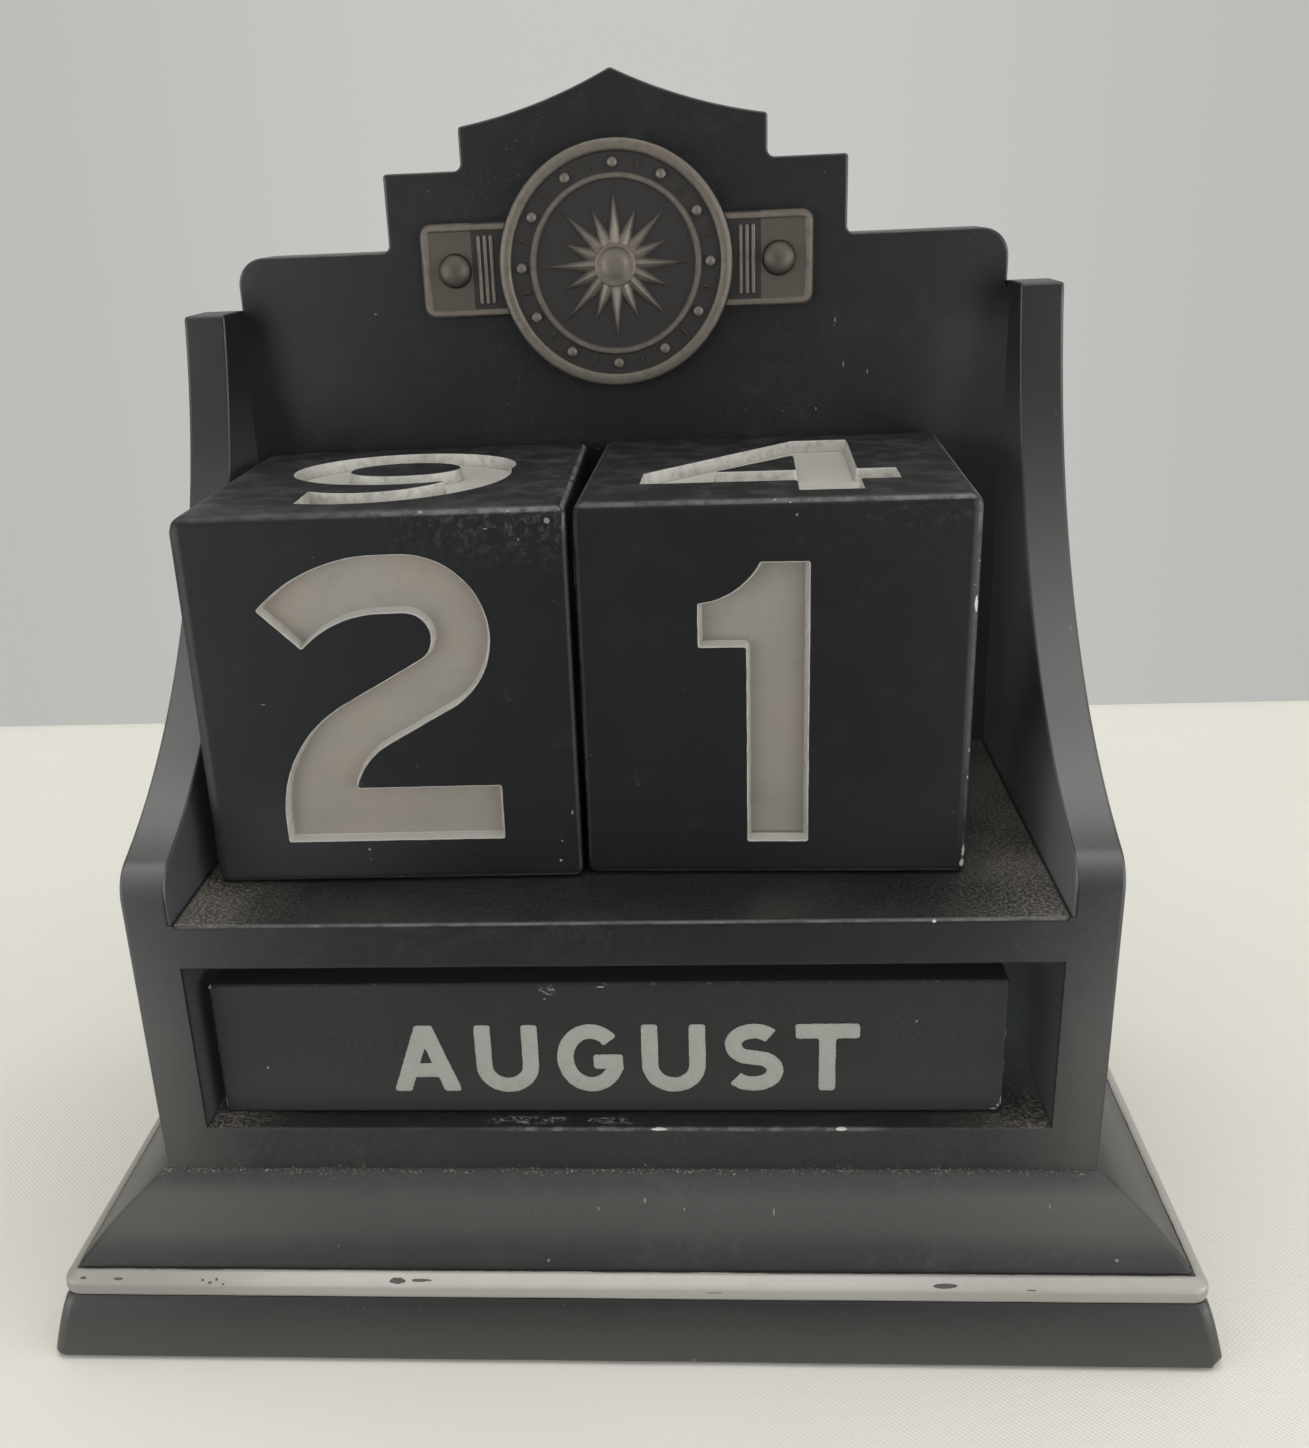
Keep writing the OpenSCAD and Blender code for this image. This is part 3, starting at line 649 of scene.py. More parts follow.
# ------------------------------------------------------------------ materials
class Nodes:
    """Short names for the shader nodes used below. Lengths inside are millimetres."""

    def __init__(self, name):
        self.mat = bpy.data.materials.new(name)
        self.mat.use_nodes = True
        self.t = self.mat.node_tree
        self.t.nodes.clear()
        self.out = self.t.nodes.new("ShaderNodeOutputMaterial")
        self.bsdf = self.t.nodes.new("ShaderNodeBsdfPrincipled")
        self.t.links.new(self.bsdf.outputs[0], self.out.inputs[0])
        co = self.t.nodes.new("ShaderNodeTexCoord")
        sc = self.t.nodes.new("ShaderNodeVectorMath")
        sc.operation = "SCALE"
        sc.inputs["Scale"].default_value = 1000.0
        self.t.links.new(co.outputs["Object"], sc.inputs[0])
        self.p = sc.outputs[0]
        self.shared = {}

    def put(self, socket, value):
        if isinstance(value, bpy.types.NodeSocket):
            self.t.links.new(value, socket)
        elif isinstance(value, (tuple, list)) and len(value) == 3 and socket.type == "RGBA":
            socket.default_value = (*value, 1.0)
        else:
            socket.default_value = value

    def math(self, op, a, b=0.0, c=None, clamp=False):
        n = self.t.nodes.new("ShaderNodeMath")
        n.operation = op
        n.use_clamp = clamp
        self.put(n.inputs[0], a)
        self.put(n.inputs[1], b)
        if c is not None:
            self.put(n.inputs[2], c)
        return n.outputs[0]

    def add(self, a, b): return self.math("ADD", a, b)
    def sub(self, a, b): return self.math("SUBTRACT", a, b)
    def mul(self, a, b): return self.math("MULTIPLY", a, b)
    def top(self, a, b): return self.math("MAXIMUM", a, b)
    def low(self, a, b): return self.math("MINIMUM", a, b)

    def step(self, x, a, b, lo=0.0, hi=1.0):
        """lo at a and below, hi at b and above, smooth between them; a may be over b."""
        n = self.t.nodes.new("ShaderNodeMapRange")
        n.interpolation_type = "SMOOTHSTEP"
        self.put(n.inputs["Value"], x)
        if a <= b:
            v = (a, b, lo, hi)
        else:
            v = (b, a, hi, lo)
        for s, w in zip(("From Min", "From Max", "To Min", "To Max"), v):
            n.inputs[s].default_value = w
        return n.outputs[0]

    def mix(self, f, a, b):
        n = self.t.nodes.new("ShaderNodeMix")
        n.data_type = "RGBA"
        self.put(n.inputs[0], f)
        self.put(n.inputs[6], a)
        self.put(n.inputs[7], b)
        return n.outputs[2]

    def blend(self, f, a, b):
        n = self.t.nodes.new("ShaderNodeMix")
        n.data_type = "FLOAT"
        self.put(n.inputs[0], f)
        self.put(n.inputs[2], a)
        self.put(n.inputs[3], b)
        return n.outputs[0]

    def xyz(self, v=None):
        n = self.t.nodes.new("ShaderNodeSeparateXYZ")
        self.put(n.inputs[0], self.p if v is None else v)
        return n.outputs[0], n.outputs[1], n.outputs[2]

    def vec(self, x, y, z):
        n = self.t.nodes.new("ShaderNodeCombineXYZ")
        for s, v in zip(n.inputs, (x, y, z)):
            self.put(s, v)
        return n.outputs[0]

    def vmul(self, v, by):
        n = self.t.nodes.new("ShaderNodeVectorMath")
        n.operation = "MULTIPLY"
        self.put(n.inputs[0], v)
        n.inputs[1].default_value = by
        return n.outputs[0]

    def vadd(self, v, by):
        n = self.t.nodes.new("ShaderNodeVectorMath")
        n.operation = "ADD"
        self.put(n.inputs[0], v)
        self.put(n.inputs[1], by)
        return n.outputs[0]

    def noise(self, size, detail=3.0, rough=0.55, v=None, warp=0.0, color=False):
        n = self.t.nodes.new("ShaderNodeTexNoise")
        self.put(n.inputs["Vector"], self.p if v is None else v)
        n.inputs["Scale"].default_value = 1.0 / size
        n.inputs["Detail"].default_value = detail
        n.inputs["Roughness"].default_value = rough
        n.inputs["Distortion"].default_value = warp
        return n.outputs["Color"] if color else n.outputs["Fac"]

    def specks(self, cell, radius, share, v=None, seed=0.0):
        """Scattered soft dots: about share of the cells hold one, of up to that radius."""
        n = self.t.nodes.new("ShaderNodeTexVoronoi")
        src = self.p if v is None else v
        self.put(n.inputs["Vector"], self.vadd(src, (seed * 13.7, seed * 7.1, seed * 3.3)))
        n.inputs["Scale"].default_value = 1.0 / cell
        n.inputs["Randomness"].default_value = 1.0
        s = self.t.nodes.new("ShaderNodeSeparateColor")
        self.put(s.inputs[0], n.outputs["Color"])
        keep = self.math("GREATER_THAN", s.outputs[0], 1.0 - share)
        size = self.blend(s.outputs[1], 0.35 * radius / cell, radius / cell)
        d = self.math("DIVIDE", n.outputs["Distance"], size)
        return self.mul(self.step(d, 1.0, 0.6), keep)

    def attr(self, name):
        n = self.t.nodes.new("ShaderNodeAttribute")
        n.attribute_type = "GEOMETRY"
        n.attribute_name = name
        return n.outputs["Fac"]

    def normal_z(self):
        n = self.t.nodes.new("ShaderNodeNewGeometry")
        s = self.t.nodes.new("ShaderNodeSeparateXYZ")
        self.put(s.inputs[0], n.outputs["Normal"])
        return s.outputs[2]

    def ridge(self, along_x=1.0):
        """1 along the middle of a rounded edge, 0 on the flats. along_x is the share kept on edges that run along x."""
        n = self.t.nodes.new("ShaderNodeNewGeometry")
        nx, ny, nz = (self.math("ABSOLUTE", c) for c in self.xyz(n.outputs["Normal"]))
        return self.mul(self.top(self.top(self.mul(nx, ny), self.mul(self.mul(ny, nz), along_x)), self.mul(nx, nz)), 2.0)

    def spot(self, centre, size, uneven=0.5, grain=0.5):
        """A small ragged mark: 1 inside the ellipsoid, 0 outside."""
        q = self.vmul(self.vadd(self.p, tuple(-c for c in centre)), tuple(1.0 / c for c in size))
        n = self.t.nodes.new("ShaderNodeVectorMath")
        n.operation = "LENGTH"
        self.put(n.inputs[0], q)
        if grain not in self.shared:
            self.shared[grain] = self.noise(grain, 3, 0.6)
        wob = self.mul(self.sub(self.shared[grain], 0.5), 2.0 * uneven)
        return self.step(self.add(n.outputs["Value"], wob), 1.05, 0.88)

    def bump(self, height, mm, strength=1.0, normal=None):
        n = self.t.nodes.new("ShaderNodeBump")
        n.inputs["Strength"].default_value = strength
        n.inputs["Distance"].default_value = mm * MM
        self.put(n.inputs["Height"], height)
        if normal is not None:
            self.put(n.inputs["Normal"], normal)
        return n.outputs[0]

    def finish(self, color, rough, normal=None, metallic=0.0, specular=0.5, **more):
        b = self.bsdf
        self.put(b.inputs["Base Color"], color)
        self.put(b.inputs["Roughness"], rough)
        self.put(b.inputs["Metallic"], metallic)
        b.inputs["Specular IOR Level"].default_value = specular
        if normal is not None:
            self.put(b.inputs["Normal"], normal)
        for k, v in more.items():
            b.inputs[k].default_value = v
        return self.mat


STAND_MARKS = ((36.2, -33.2, 52.1, 0.28, 0.5, 0.25), (30.0, 25.2, 106.5, 0.10, 0.3, 0.5), (33.2, 25.2, 105.4, 0.10, 0.3, 0.4),
               (38.5, 25.2, 127.5, 0.12, 0.3, 0.7), (28.8, 25.2, 112.2, 0.10, 0.3, 0.4), (-32.8, 25.2, 115.2, 0.25, 0.3, 0.12),
               (26.4, 25.2, 100.8, 0.12, 0.3, 0.3), (2.8, -36.7, 16.7, 0.20, 0.5, 0.3), (-2.8, -37.5, 16.1, 0.14, 0.5, 0.2),
               (-8.65, -41.9, 11.9, 0.20, 0.5, 0.2), (18.2, -37.7, 15.9, 0.12, 0.6, 0.4), (50.6, -37.1, 16.4, 0.12, 0.5, 0.25),
               (57.6, -41.6, 12.2, 0.26, 0.5, 0.2), (8.45, -45.9, 0.85, 0.16, 0.8, 0.26), (64.7, -45.6, 6.3, 0.10, 0.6, 0.3),
               (55.8, -45.6, 5.4, 0.10, 0.6, 0.14))


def black_stand():
    """Satin black paint of the stand, with dust on its floors and lint in the crease; its tone is also painted lighter
    or darker by place, as painted light and shade.
    """
    g = Nodes("stand_black")
    x, y, z = g.xyz()
    ax, ay = g.math("ABSOLUTE", x), g.math("ABSOLUTE", y)
    cloud = g.noise(22.0, 3, 0.5)
    fine = g.noise(1.1, 3, 0.6)
    base = g.mix(cloud, (0.0052, 0.0057, 0.0063), (0.0070, 0.0073, 0.0076))
    # the plinth's slope is a shade browner, lighter and rougher, in soft patches
    slope = g.mul(g.step(z, 19.2, 17.0), g.step(z, 10.4, 12.6))
    brown = g.mul(slope, g.step(cloud, 0.30, 0.75, 0.55, 1.0))
    base = g.mix(brown, base, (0.0160, 0.0136, 0.0112))
    # painted light and shade on the slope: its upper band and its ends are painted lighter, its low end darker
    base = g.mix(g.mul(slope, g.mul(g.step(z, 18.0, 16.6), g.step(z, 12.6, 15.0))), base, (0.0280, 0.0250, 0.0216))
    ends = g.mul(g.step(ax, 28.0, 62.0, 0.0, 0.9), g.mul(g.step(z, 11.5, 15.0, 0.35, 1.0), g.step(z, 18.4, 16.8, 0.15, 1.0)))
    base = g.mix(g.mul(slope, ends), base, (0.050, 0.0465, 0.0410))
    base = g.mix(g.mul(slope, g.step(z, 14.5, 11.4, 0.0, 0.75)), base, (0.0105, 0.0092, 0.0080))
    # painted light: the foot under the band is painted lighter, more so towards its bottom edge
    base = g.mix(g.step(z, 8.2, 7.8, 0.0, 0.9), base, (0.0195, 0.0194, 0.0182))
    base = g.mix(g.step(z, 6.5, 1.0, 0.0, 0.9), base, (0.0330, 0.0335, 0.0310))
    rough = g.blend(fine, 0.36, 0.43)
    rough = g.blend(g.mul(brown, 0.4), rough, 0.48)
    mott = g.mul(g.step(g.noise(2.6, 4, 0.65), 0.45, 0.75), g.step(g.noise(14.0, 3, 0.6), 0.35, 0.65, 0.15, 1.0))
    base = g.mix(g.mul(mott, g.add(0.25, g.mul(slope, 0.22))), base, (0.040, 0.035, 0.030))
    veil = g.mul(g.step(g.noise(30.0, 3, 0.5), 0.40, 0.65), g.step(g.noise(0.55, 3, 0.65), 0.46, 0.66))
    base = g.mix(g.mul(veil, 0.16), base, (0.055, 0.055, 0.054))
    # painted light: the wings' inner faces above the shelf and the panel beside them are painted lighter, palest
    # towards the back and low down
    bloom_and_painted_light = g.mul(g.mul(g.step(g.math("ABSOLUTE", g.sub(ax, 51.5)), 0.12, 0.06), g.step(y, 25.3, 25.2)), g.mul(g.step(z, 112.0, 66.0), g.step(z, 52.3, 52.5)))
    beside_ = g.mul(g.mul(g.mul(g.step(ax, 38.0, 50.5), g.step(ax, 51.8, 51.6)), g.step(g.math("ABSOLUTE", g.sub(y, PANEL_Y)), 0.12, 0.06)), g.mul(g.step(z, 117.0, 108.0), g.step(z, 52.3, 52.5)))
    deep_in = g.top(g.step(g.add(y, g.mul(z, 0.35)), 12.0, 34.0), g.mul(g.step(z, 75.0, 60.0, 0.0, 0.6), g.step(x, -10.0, 10.0, 0.42, 1.0)))
    base = g.mix(g.mul(g.mul(bloom_and_painted_light, g.top(g.step(x, -10.0, 10.0, 0.75, 1.0), g.step(z, 88.0, 72.0))), g.blend(deep_in, 0.45, 0.95)), base, g.mix(deep_in, (0.050, 0.052, 0.052), (0.190, 0.200, 0.206)))
    base = g.mix(g.mul(beside_, g.step(x, -40.0, 40.0, 0.14, 0.58)), base, (0.060, 0.064, 0.067))
    # dust on the shelf and on the cavity's floor, thickest along the walls
    flat = g.step(g.normal_z(), 0.80, 0.95)
    on_shelf = g.mul(g.step(g.math("ABSOLUTE", g.sub(z, SHELF_Z)), 0.55, 0.35), g.step(ax, 51.3, 50.9))
    on_floor = g.mul(g.step(g.math("ABSOLUTE", g.sub(z, FLOOR_Z)), 0.55, 0.35), g.step(ax, 51.3, 50.9))
    wall = g.top(g.step(ax, 34.0, 51.0), g.step(y, 14.0, 25.2))
    grain = g.step(g.noise(0.40, 3, 0.7), 0.44, 0.66)
    patch = g.step(g.noise(11.0, 3, 0.5), 0.32, 0.70)
    dust = g.mul(g.mul(flat, g.top(on_shelf, g.mul(on_floor, 0.75))), g.add(0.13, g.add(g.mul(wall, 0.45), g.mul(g.step(ax, 41.0, 50.0), 0.65))))
    dust = g.mul(dust, g.add(g.add(0.06, g.mul(patch, 0.30)), g.mul(grain, 0.95)))
    base = g.mix(dust, base, (0.180, 0.162, 0.134))
    rough = g.blend(dust, rough, 0.9)
    # painted light: the jambs' inner faces are painted a lighter grey
    jamb = g.mul(g.step(g.math("ABSOLUTE", g.sub(ax, 51.1)), 0.12, 0.06), g.mul(g.step(g.math("ABSOLUTE", g.sub(z, 35.65)), 10.94, 10.9), g.step(y, 25.2, 25.1)))
    jamb = g.mul(jamb, g.step(y, -33.2, -32.2))
    base = g.mix(jamb, base, (0.047, 0.050, 0.053))
    # painted light: deeper than its front, the cavity's inside is painted pale grey
    deep = g.mul(g.mul(g.step(y, -30.0, -8.0), g.step(y, 25.6, 25.4)), g.mul(g.step(ax, 51.3, 51.2), g.step(g.math("ABSOLUTE", g.sub(z, 35.65)), 11.3, 11.2)))
    base = g.mix(g.mul(deep, 0.95), base, (0.400, 0.420, 0.430))
    # painted light: the wings' front sweeps are painted lighter, a little more on the left, and their shoulders lighter
    # still as a painted highlight
    normal = g.t.nodes.new("ShaderNodeNewGeometry").outputs["Normal"]
    ahead_ = g.step(g.xyz(normal)[1], -0.35, -0.6)
    sweep = g.mul(g.mul(g.step(z, 104.0, 70.0), g.step(z, 55.0, 59.5)), g.mul(g.step(ax, 51.3, 51.5), ahead_))
    sweep = g.mul(sweep, g.step(x, -40.0, 40.0, 1.15, 0.95))
    base = g.mix(g.mul(sweep, 0.86), base, (0.070, 0.071, 0.066))
    crown = g.mul(g.mul(g.step(z, 57.8, 61.5), g.step(z, 70.0, 62.0)), g.mul(g.step(ax, 51.3, 51.5), g.step(g.xyz(normal)[1], -0.2, -0.5)))
    base = g.mix(g.mul(crown, 0.75), base, (0.115, 0.117, 0.110))
    # painted light: the front's outer ends are painted lighter towards the foot and towards the outer edges
    post = g.mul(g.mul(g.step(g.xyz(normal)[1], -0.5, -0.7), g.step(z, 18.85, 18.95)), g.mul(g.step(z, 58.0, 34.0), g.step(ax, 44.0, 52.0)))
    base = g.mix(g.mul(post, g.step(ax, 50.0, 56.5, 0.40, 0.90)), base, (0.0410, 0.0414, 0.0375))
    # a thin strip down each outer front edge is kept nearly black, free of the painted light around it
    rim = g.mul(g.mul(g.step(ax, 56.45, 56.75), g.step(y, -32.4, -32.9)), g.mul(g.step(z, 18.9, 19.5), g.step(z, 70.0, 62.0)))
    base = g.mix(g.mul(rim, 0.85), base, (0.0060, 0.0062, 0.0062))
    # lint where the housing meets the plinth: clumps of tan crumbs, some up the wall
    off = g.top(g.sub(ax, HOUSE_X), g.sub(ay, HOUSE_Y))
    reach = g.step(g.noise(3.0, 4, 0.7), 0.35, 0.72, 0.25, 1.5)
    beside = g.step(g.math("ABSOLUTE", off), 1.9, 0.6)
    above = g.math("DIVIDE", g.math("ABSOLUTE", g.sub(z, 18.75)), reach)
    near = g.mul(g.step(above, 1.0, 0.25), beside)
    crumbs = g.top(g.specks(0.60, 0.19, 0.38, seed=11), g.mul(g.step(g.noise(0.30, 2, 0.6), 0.55, 0.63), g.step(above, 0.40, 0.1)))
    stray = g.mul(g.mul(g.specks(1.1, 0.15, 0.45, seed=12), g.step(g.math("ABSOLUTE", g.sub(z, 18.9)), 3.4, 1.0)), beside)
    lint = g.top(g.mul(near, crumbs), g.mul(stray, 0.8))
    tan = g.mix(g.step(g.noise(0.8, 2, 0.5), 0.54, 0.68), (0.165, 0.138, 0.108), (0.36, 0.33, 0.29))
    base = g.mix(g.mul(lint, 0.74), base, tan)
    rough = g.blend(lint, rough, 0.95)
    # scuffs on the cavity's floor and a rubbed line on its front edge
    streak = g.mul(g.step(g.noise(0.30, 3, 0.7, v=g.vmul(g.p, (0.50, 1.6, 1.0))), 0.53, 0.62), g.step(g.noise(2.2, 3, 0.6, v=g.vmul(g.p, (0.6, 1.0, 1.0))), 0.40, 0.56))
    span = g.mul(g.step(x, -17.5, -14.0), g.step(x, 4.0, 0.5))
    scuff = g.mul(g.mul(on_floor, g.mul(g.step(y, -32.6, -32.0), g.step(y, -30.3, -31.3))), g.mul(span, streak))
    lip = g.mul(g.mul(g.step(y, -32.75, -33.0), g.step(g.math("ABSOLUTE", g.sub(z, 24.55)), 0.34, 0.14)), g.step(ax, 50.9, 50.6))
    lip = g.mul(lip, g.add(0.03, g.mul(g.mul(g.step(x, -18.0, -12.0), g.step(x, 33.0, 28.0)), g.step(g.noise(1.6, 4, 0.7), 0.40, 0.60, 0.15, 0.75))))
    lip2 = g.mul(g.mul(g.step(y, -32.85, -33.1), g.step(g.math("ABSOLUTE", g.sub(z, 52.25)), 0.24, 0.08)), g.step(ax, 50.9, 50.6))
    marks = g.top(g.spot((4.6, -33.2, 24.55), (1.0, 0.6, 0.16)), g.spot((26.4, -33.2, 24.55), (0.7, 0.6, 0.20)))
    for cx, cy, cz, rx, ry, rz in STAND_MARKS:
        marks = g.top(marks, g.mul(g.spot((cx, cy, cz), (rx * 0.8, ry, rz * 0.8)), 0.85 if cx == 36.2 else 0.32))
    base = g.mix(g.mul(lip, 0.7), base, (0.15, 0.15, 0.143))
    base = g.mix(scuff, base, (0.42, 0.41, 0.385))
    base = g.mix(g.mul(lip2, g.step(g.noise(2.5, 4, 0.7), 0.35, 0.65, 0.12, 0.5)), base, (0.16, 0.16, 0.155))
    base = g.mix(marks, base, (0.42, 0.42, 0.40))
    rough = g.blend(g.top(g.top(scuff, lip), marks), rough, 0.75)
    # scattered pale specks and short scratches
    s1 = g.specks(1.7, 0.14, 0.28)
    s2 = g.specks(4.4, 0.24, 0.16, v=g.vmul(g.p, (1.0, 1.0, 0.45)), seed=2)
    sp = g.top(g.mul(s1, 0.35), g.mul(s2, 0.55))
    base = g.mix(sp, base, (0.22, 0.22, 0.21))
    # rubbed edges
    e = g.mul(g.step(g.ridge(g.step(ax, 51.15, 51.05)), 0.72, 0.96), g.step(g.noise(2.4, 4, 0.65), 0.44, 0.68))
    e = g.mul(e, g.mul(g.step(z, 20.0, 21.0), g.attr("edge")))
    base = g.mix(g.mul(e, 0.24), base, (0.15, 0.15, 0.145))
    height = g.add(g.mul(g.noise(0.9, 4, 0.6), 0.5), g.add(g.mul(g.noise(7.0, 2, 0.5), 0.7), g.mul(g.top(lint, marks), 0.9)))
    return g.finish(base, rough, g.bump(height, 0.05, 0.45), specular=0.60)


def black_cube(name, seed, gap, chips=()):
    """Cube paint in the cube's own frame: thin rubbed edges, a grey haze on top, specks, chips, and painted light low
    on the outer side. gap is the side of the other cube.
    """
    g = Nodes(name)
    x, y, z = g.xyz()
    p = g.vadd(g.p, (seed * 31.0, 0.0, seed * 11.0))
    cloud = g.noise(13.0, 4, 0.6, v=p)
    base = g.mix(cloud, (0.0045, 0.0049, 0.0053), (0.0085, 0.0087, 0.0088))
    rough = g.blend(g.noise(1.3, 3, 0.6, v=p), 0.42, 0.54)
    # a grey bloom on the top, scuffs and handling marks
    upward = g.step(g.normal_z(), 0.6, 0.95)
    bloom_and_painted_light = g.mul(upward, g.step(g.noise(4.0, 4, 0.65, v=p), 0.42, 0.72, 0.05, 0.40))
    base = g.mix(bloom_and_painted_light, base, (0.085, 0.085, 0.082))
    scuff = g.mul(g.step(g.noise(4.5, 5, 0.72, v=p), 0.52, 0.76), g.step(g.noise(0.45, 3, 0.65, v=p), 0.42, 0.66))
    base = g.mix(g.mul(scuff, 0.26), base, (0.065, 0.066, 0.066))
    near_edge = g.step(g.top(g.top(g.math("ABSOLUTE", x), g.math("ABSOLUTE", y)), 0.0), 15.0, 22.0)
    fog = g.mul(g.mul(near_edge, g.step(z, 14.0, 21.5)), g.mul(g.step(x, -4.0, 17.0), g.step(g.noise(0.9, 5, 0.75, v=g.vadd(p, (8.0, 2.0, 5.0))), 0.48, 0.66)))
    base = g.mix(g.mul(fog, 0.30 if gap > 0 else 0.10), base, (0.11, 0.11, 0.108))
    # painted light: the lower outer part of each side is painted lighter, more on the left cube
    painted_light_low = g.mul(g.step(z, -6.0, -21.0), g.step(g.mul(x, float(gap)), 12.0, -19.0, 0.1, 1.0))
    base = g.mix(g.mul(painted_light_low, g.step(g.normal_z(), 0.5, 0.2)), base, (0.026, 0.027, 0.027) if gap > 0 else (0.013, 0.0135, 0.0135))
    sp = g.top(g.mul(g.specks(1.9, 0.14, 0.30, v=p, seed=3), 0.42), g.mul(g.specks(4.6, 0.25, 0.20, v=p, seed=5), 0.65))
    fib = g.mul(g.specks(3.4, 0.30, 0.16, v=g.vmul(g.vadd(p, (4.0, 1.0, 6.0)), (0.45, 1.0, 1.5)), seed=7), 0.35)
    sp = g.top(sp, fib)
    base = g.mix(sp, base, (0.28, 0.275, 0.26))
    ridge = g.step(g.ridge(), 0.74, 0.98)
    where = g.step(x, -14.0, 21.0, 0.25 if gap > 0 else 0.60, 1.0)
    where = g.mul(where, g.step(g.math("ABSOLUTE", z), 18.0, 21.5, 0.14 if gap > 0 else 0.40, 1.0))
    where = g.mul(where, g.step(z, -18.0, -21.5, 1.0, 0.5))
    worn = g.mul(ridge, g.step(g.noise(2.2, 4, 0.7, v=p), 0.30, 0.62, 0.15, 1.0))
    base = g.mix(g.mul(g.mul(worn, where), 0.60), base, (0.18, 0.18, 0.175))
    # bare chips along the edges
    bare = g.mul(g.mul(ridge, g.step(x, -20.0, 5.0, 0.0, 1.0)), g.step(g.noise(1.2, 3, 0.65, v=g.vadd(p, (5.0, 9.0, 2.0))), 0.69, 0.72))
    for cx, cy, cz, rx, ry, rz in chips:
        bare = g.top(bare, g.mul(g.spot((cx, cy, cz), (rx, ry, rz), 0.62), 0.30 if gap > 0 else 1.0))
    base = g.mix(bare, base, (0.44, 0.435, 0.41))
    rough = g.blend(g.top(bare, g.mul(worn, 0.4)), rough, 0.72)
    h = g.add(g.mul(g.noise(0.9, 4, 0.6, v=p), 0.5), g.sub(g.mul(g.noise(6.0, 2, 0.5, v=p), 0.7), g.mul(bare, 1.2)))
    return g.finish(base, rough, g.bump(h, 0.05, 0.5), specular=0.30)


def black_bar(name, seed, chips=(), patch=None):
    g = Nodes(name)
    p = g.vadd(g.p, (seed * 17.0, seed * 5.0, seed * 29.0))
    cloud = g.noise(12.0, 3, 0.55, v=p)
    base = g.mix(cloud, (0.0105, 0.0110, 0.0112), (0.0150, 0.0152, 0.0150))
    veil = g.mul(g.step(g.noise(9.0, 4, 0.6, v=p), 0.40, 0.70), g.step(g.noise(0.5, 3, 0.65, v=p), 0.45, 0.66))
    base = g.mix(g.mul(veil, 0.20), base, (0.065, 0.065, 0.064))
    # painted light: the lower part of each bar is painted lighter
    low_part = g.step(g.xyz()[2], 1.0, -8.5, 0.0, 0.9)
    base = g.mix(low_part, base, (0.0205, 0.0210, 0.0206))
    rough = g.blend(g.noise(1.0, 3, 0.6, v=p), 0.46, 0.58)
    sp = g.mul(g.specks(4.0, 0.20, 0.14, v=p, seed=1), 0.6)
    base = g.mix(sp, base, (0.28, 0.28, 0.27))
    base = g.mix(g.step(g.normal_z(), 0.6, 0.95), base, (0.030, 0.031, 0.033))
    e = g.mul(g.step(g.ridge(), 0.6, 0.95), g.step(g.noise(1.4, 4, 0.7, v=p), 0.56, 0.66))
    base = g.mix(g.mul(e, 0.35), base, (0.20, 0.20, 0.195))
    bare = None
    for cx, cy, cz, rx, ry, rz in chips:
        k = g.spot((cx, cy, cz), (rx, ry, rz), 0.35, 0.35)
        bare = k if bare is None else g.top(bare, k)
    if patch is not None:
        k = g.spot(patch[:3], patch[3:], 0.7, 0.8)
        k = g.mul(k, g.step(g.noise(0.34, 3, 0.7, v=g.vmul(p, (0.7, 1.0, 1.3))), 0.50, 0.60))
        bare = g.top(bare, g.mul(k, 0.7))
    if bare is not None:
        base = g.mix(g.mul(bare, 0.72), base, (0.30, 0.30, 0.288))
        rough = g.blend(bare, rough, 0.75)
    h = g.add(g.mul(g.noise(0.8, 4, 0.6, v=p), 0.6), g.mul(g.noise(5.0, 2, 0.5, v=p), 0.5))
    return g.finish(base, rough, g.bump(h, 0.04, 0.45), specular=0.40)


def silver_numerals(name, seed):
    """Silver paint, warm and mottled, with painted highlights: a lighter grey at its lips and walls, lighter still
    where it faces up.
    """
    g = Nodes(name)
    p = g.vadd(g.p, (seed * 23.0, seed * 3.0, 0.0))
    a = g.noise(6.5, 4, 0.6, v=p)
    b = g.noise(1.3, 4, 0.6, v=p)
    base = g.mix(a, (0.208, 0.188, 0.164), (0.256, 0.240, 0.213))
    base = g.mix(g.step(g.noise(9.0, 3, 0.5, v=g.vadd(p, (3.0, 8.0, 1.0))), 0.45, 0.66, 0.0, 0.70), base, (0.262, 0.212, 0.178))
    base = g.mix(g.step(g.noise(2.8, 5, 0.7, v=g.vadd(p, (1.0, 6.0, 9.0))), 0.52, 0.72, 0.0, 0.45), base, (0.180, 0.168, 0.155))
    # painted highlight: surfaces that face up are painted lighter
    base = g.mix(g.step(g.normal_z(), 0.6, 0.95), base, g.mix(b, (0.40, 0.385, 0.345), (0.60, 0.58, 0.53)))
    base = g.mix(g.step(b, 0.35, 0.75, 0.0, 0.22), base, (0.25, 0.235, 0.21))
    base = g.mix(g.mul(g.specks(2.0, 0.16, 0.22, v=p, seed=4), 0.65), base, (0.10, 0.085, 0.07))
    # painted highlight: the lips and walls are painted a lighter grey
    base = g.mix(g.mul(g.attr("edge"), g.step(b, 0.3, 0.6, 0.35, 0.9)), base, (0.45, 0.44, 0.405))
    rough = g.blend(b, 0.42, 0.60)
    h = g.add(g.mul(b, 0.6), g.mul(g.noise(0.35, 3, 0.6, v=p), 0.4))
    return g.finish(base, rough, g.bump(h, 0.05, 0.5), metallic=0.25, specular=0.5)


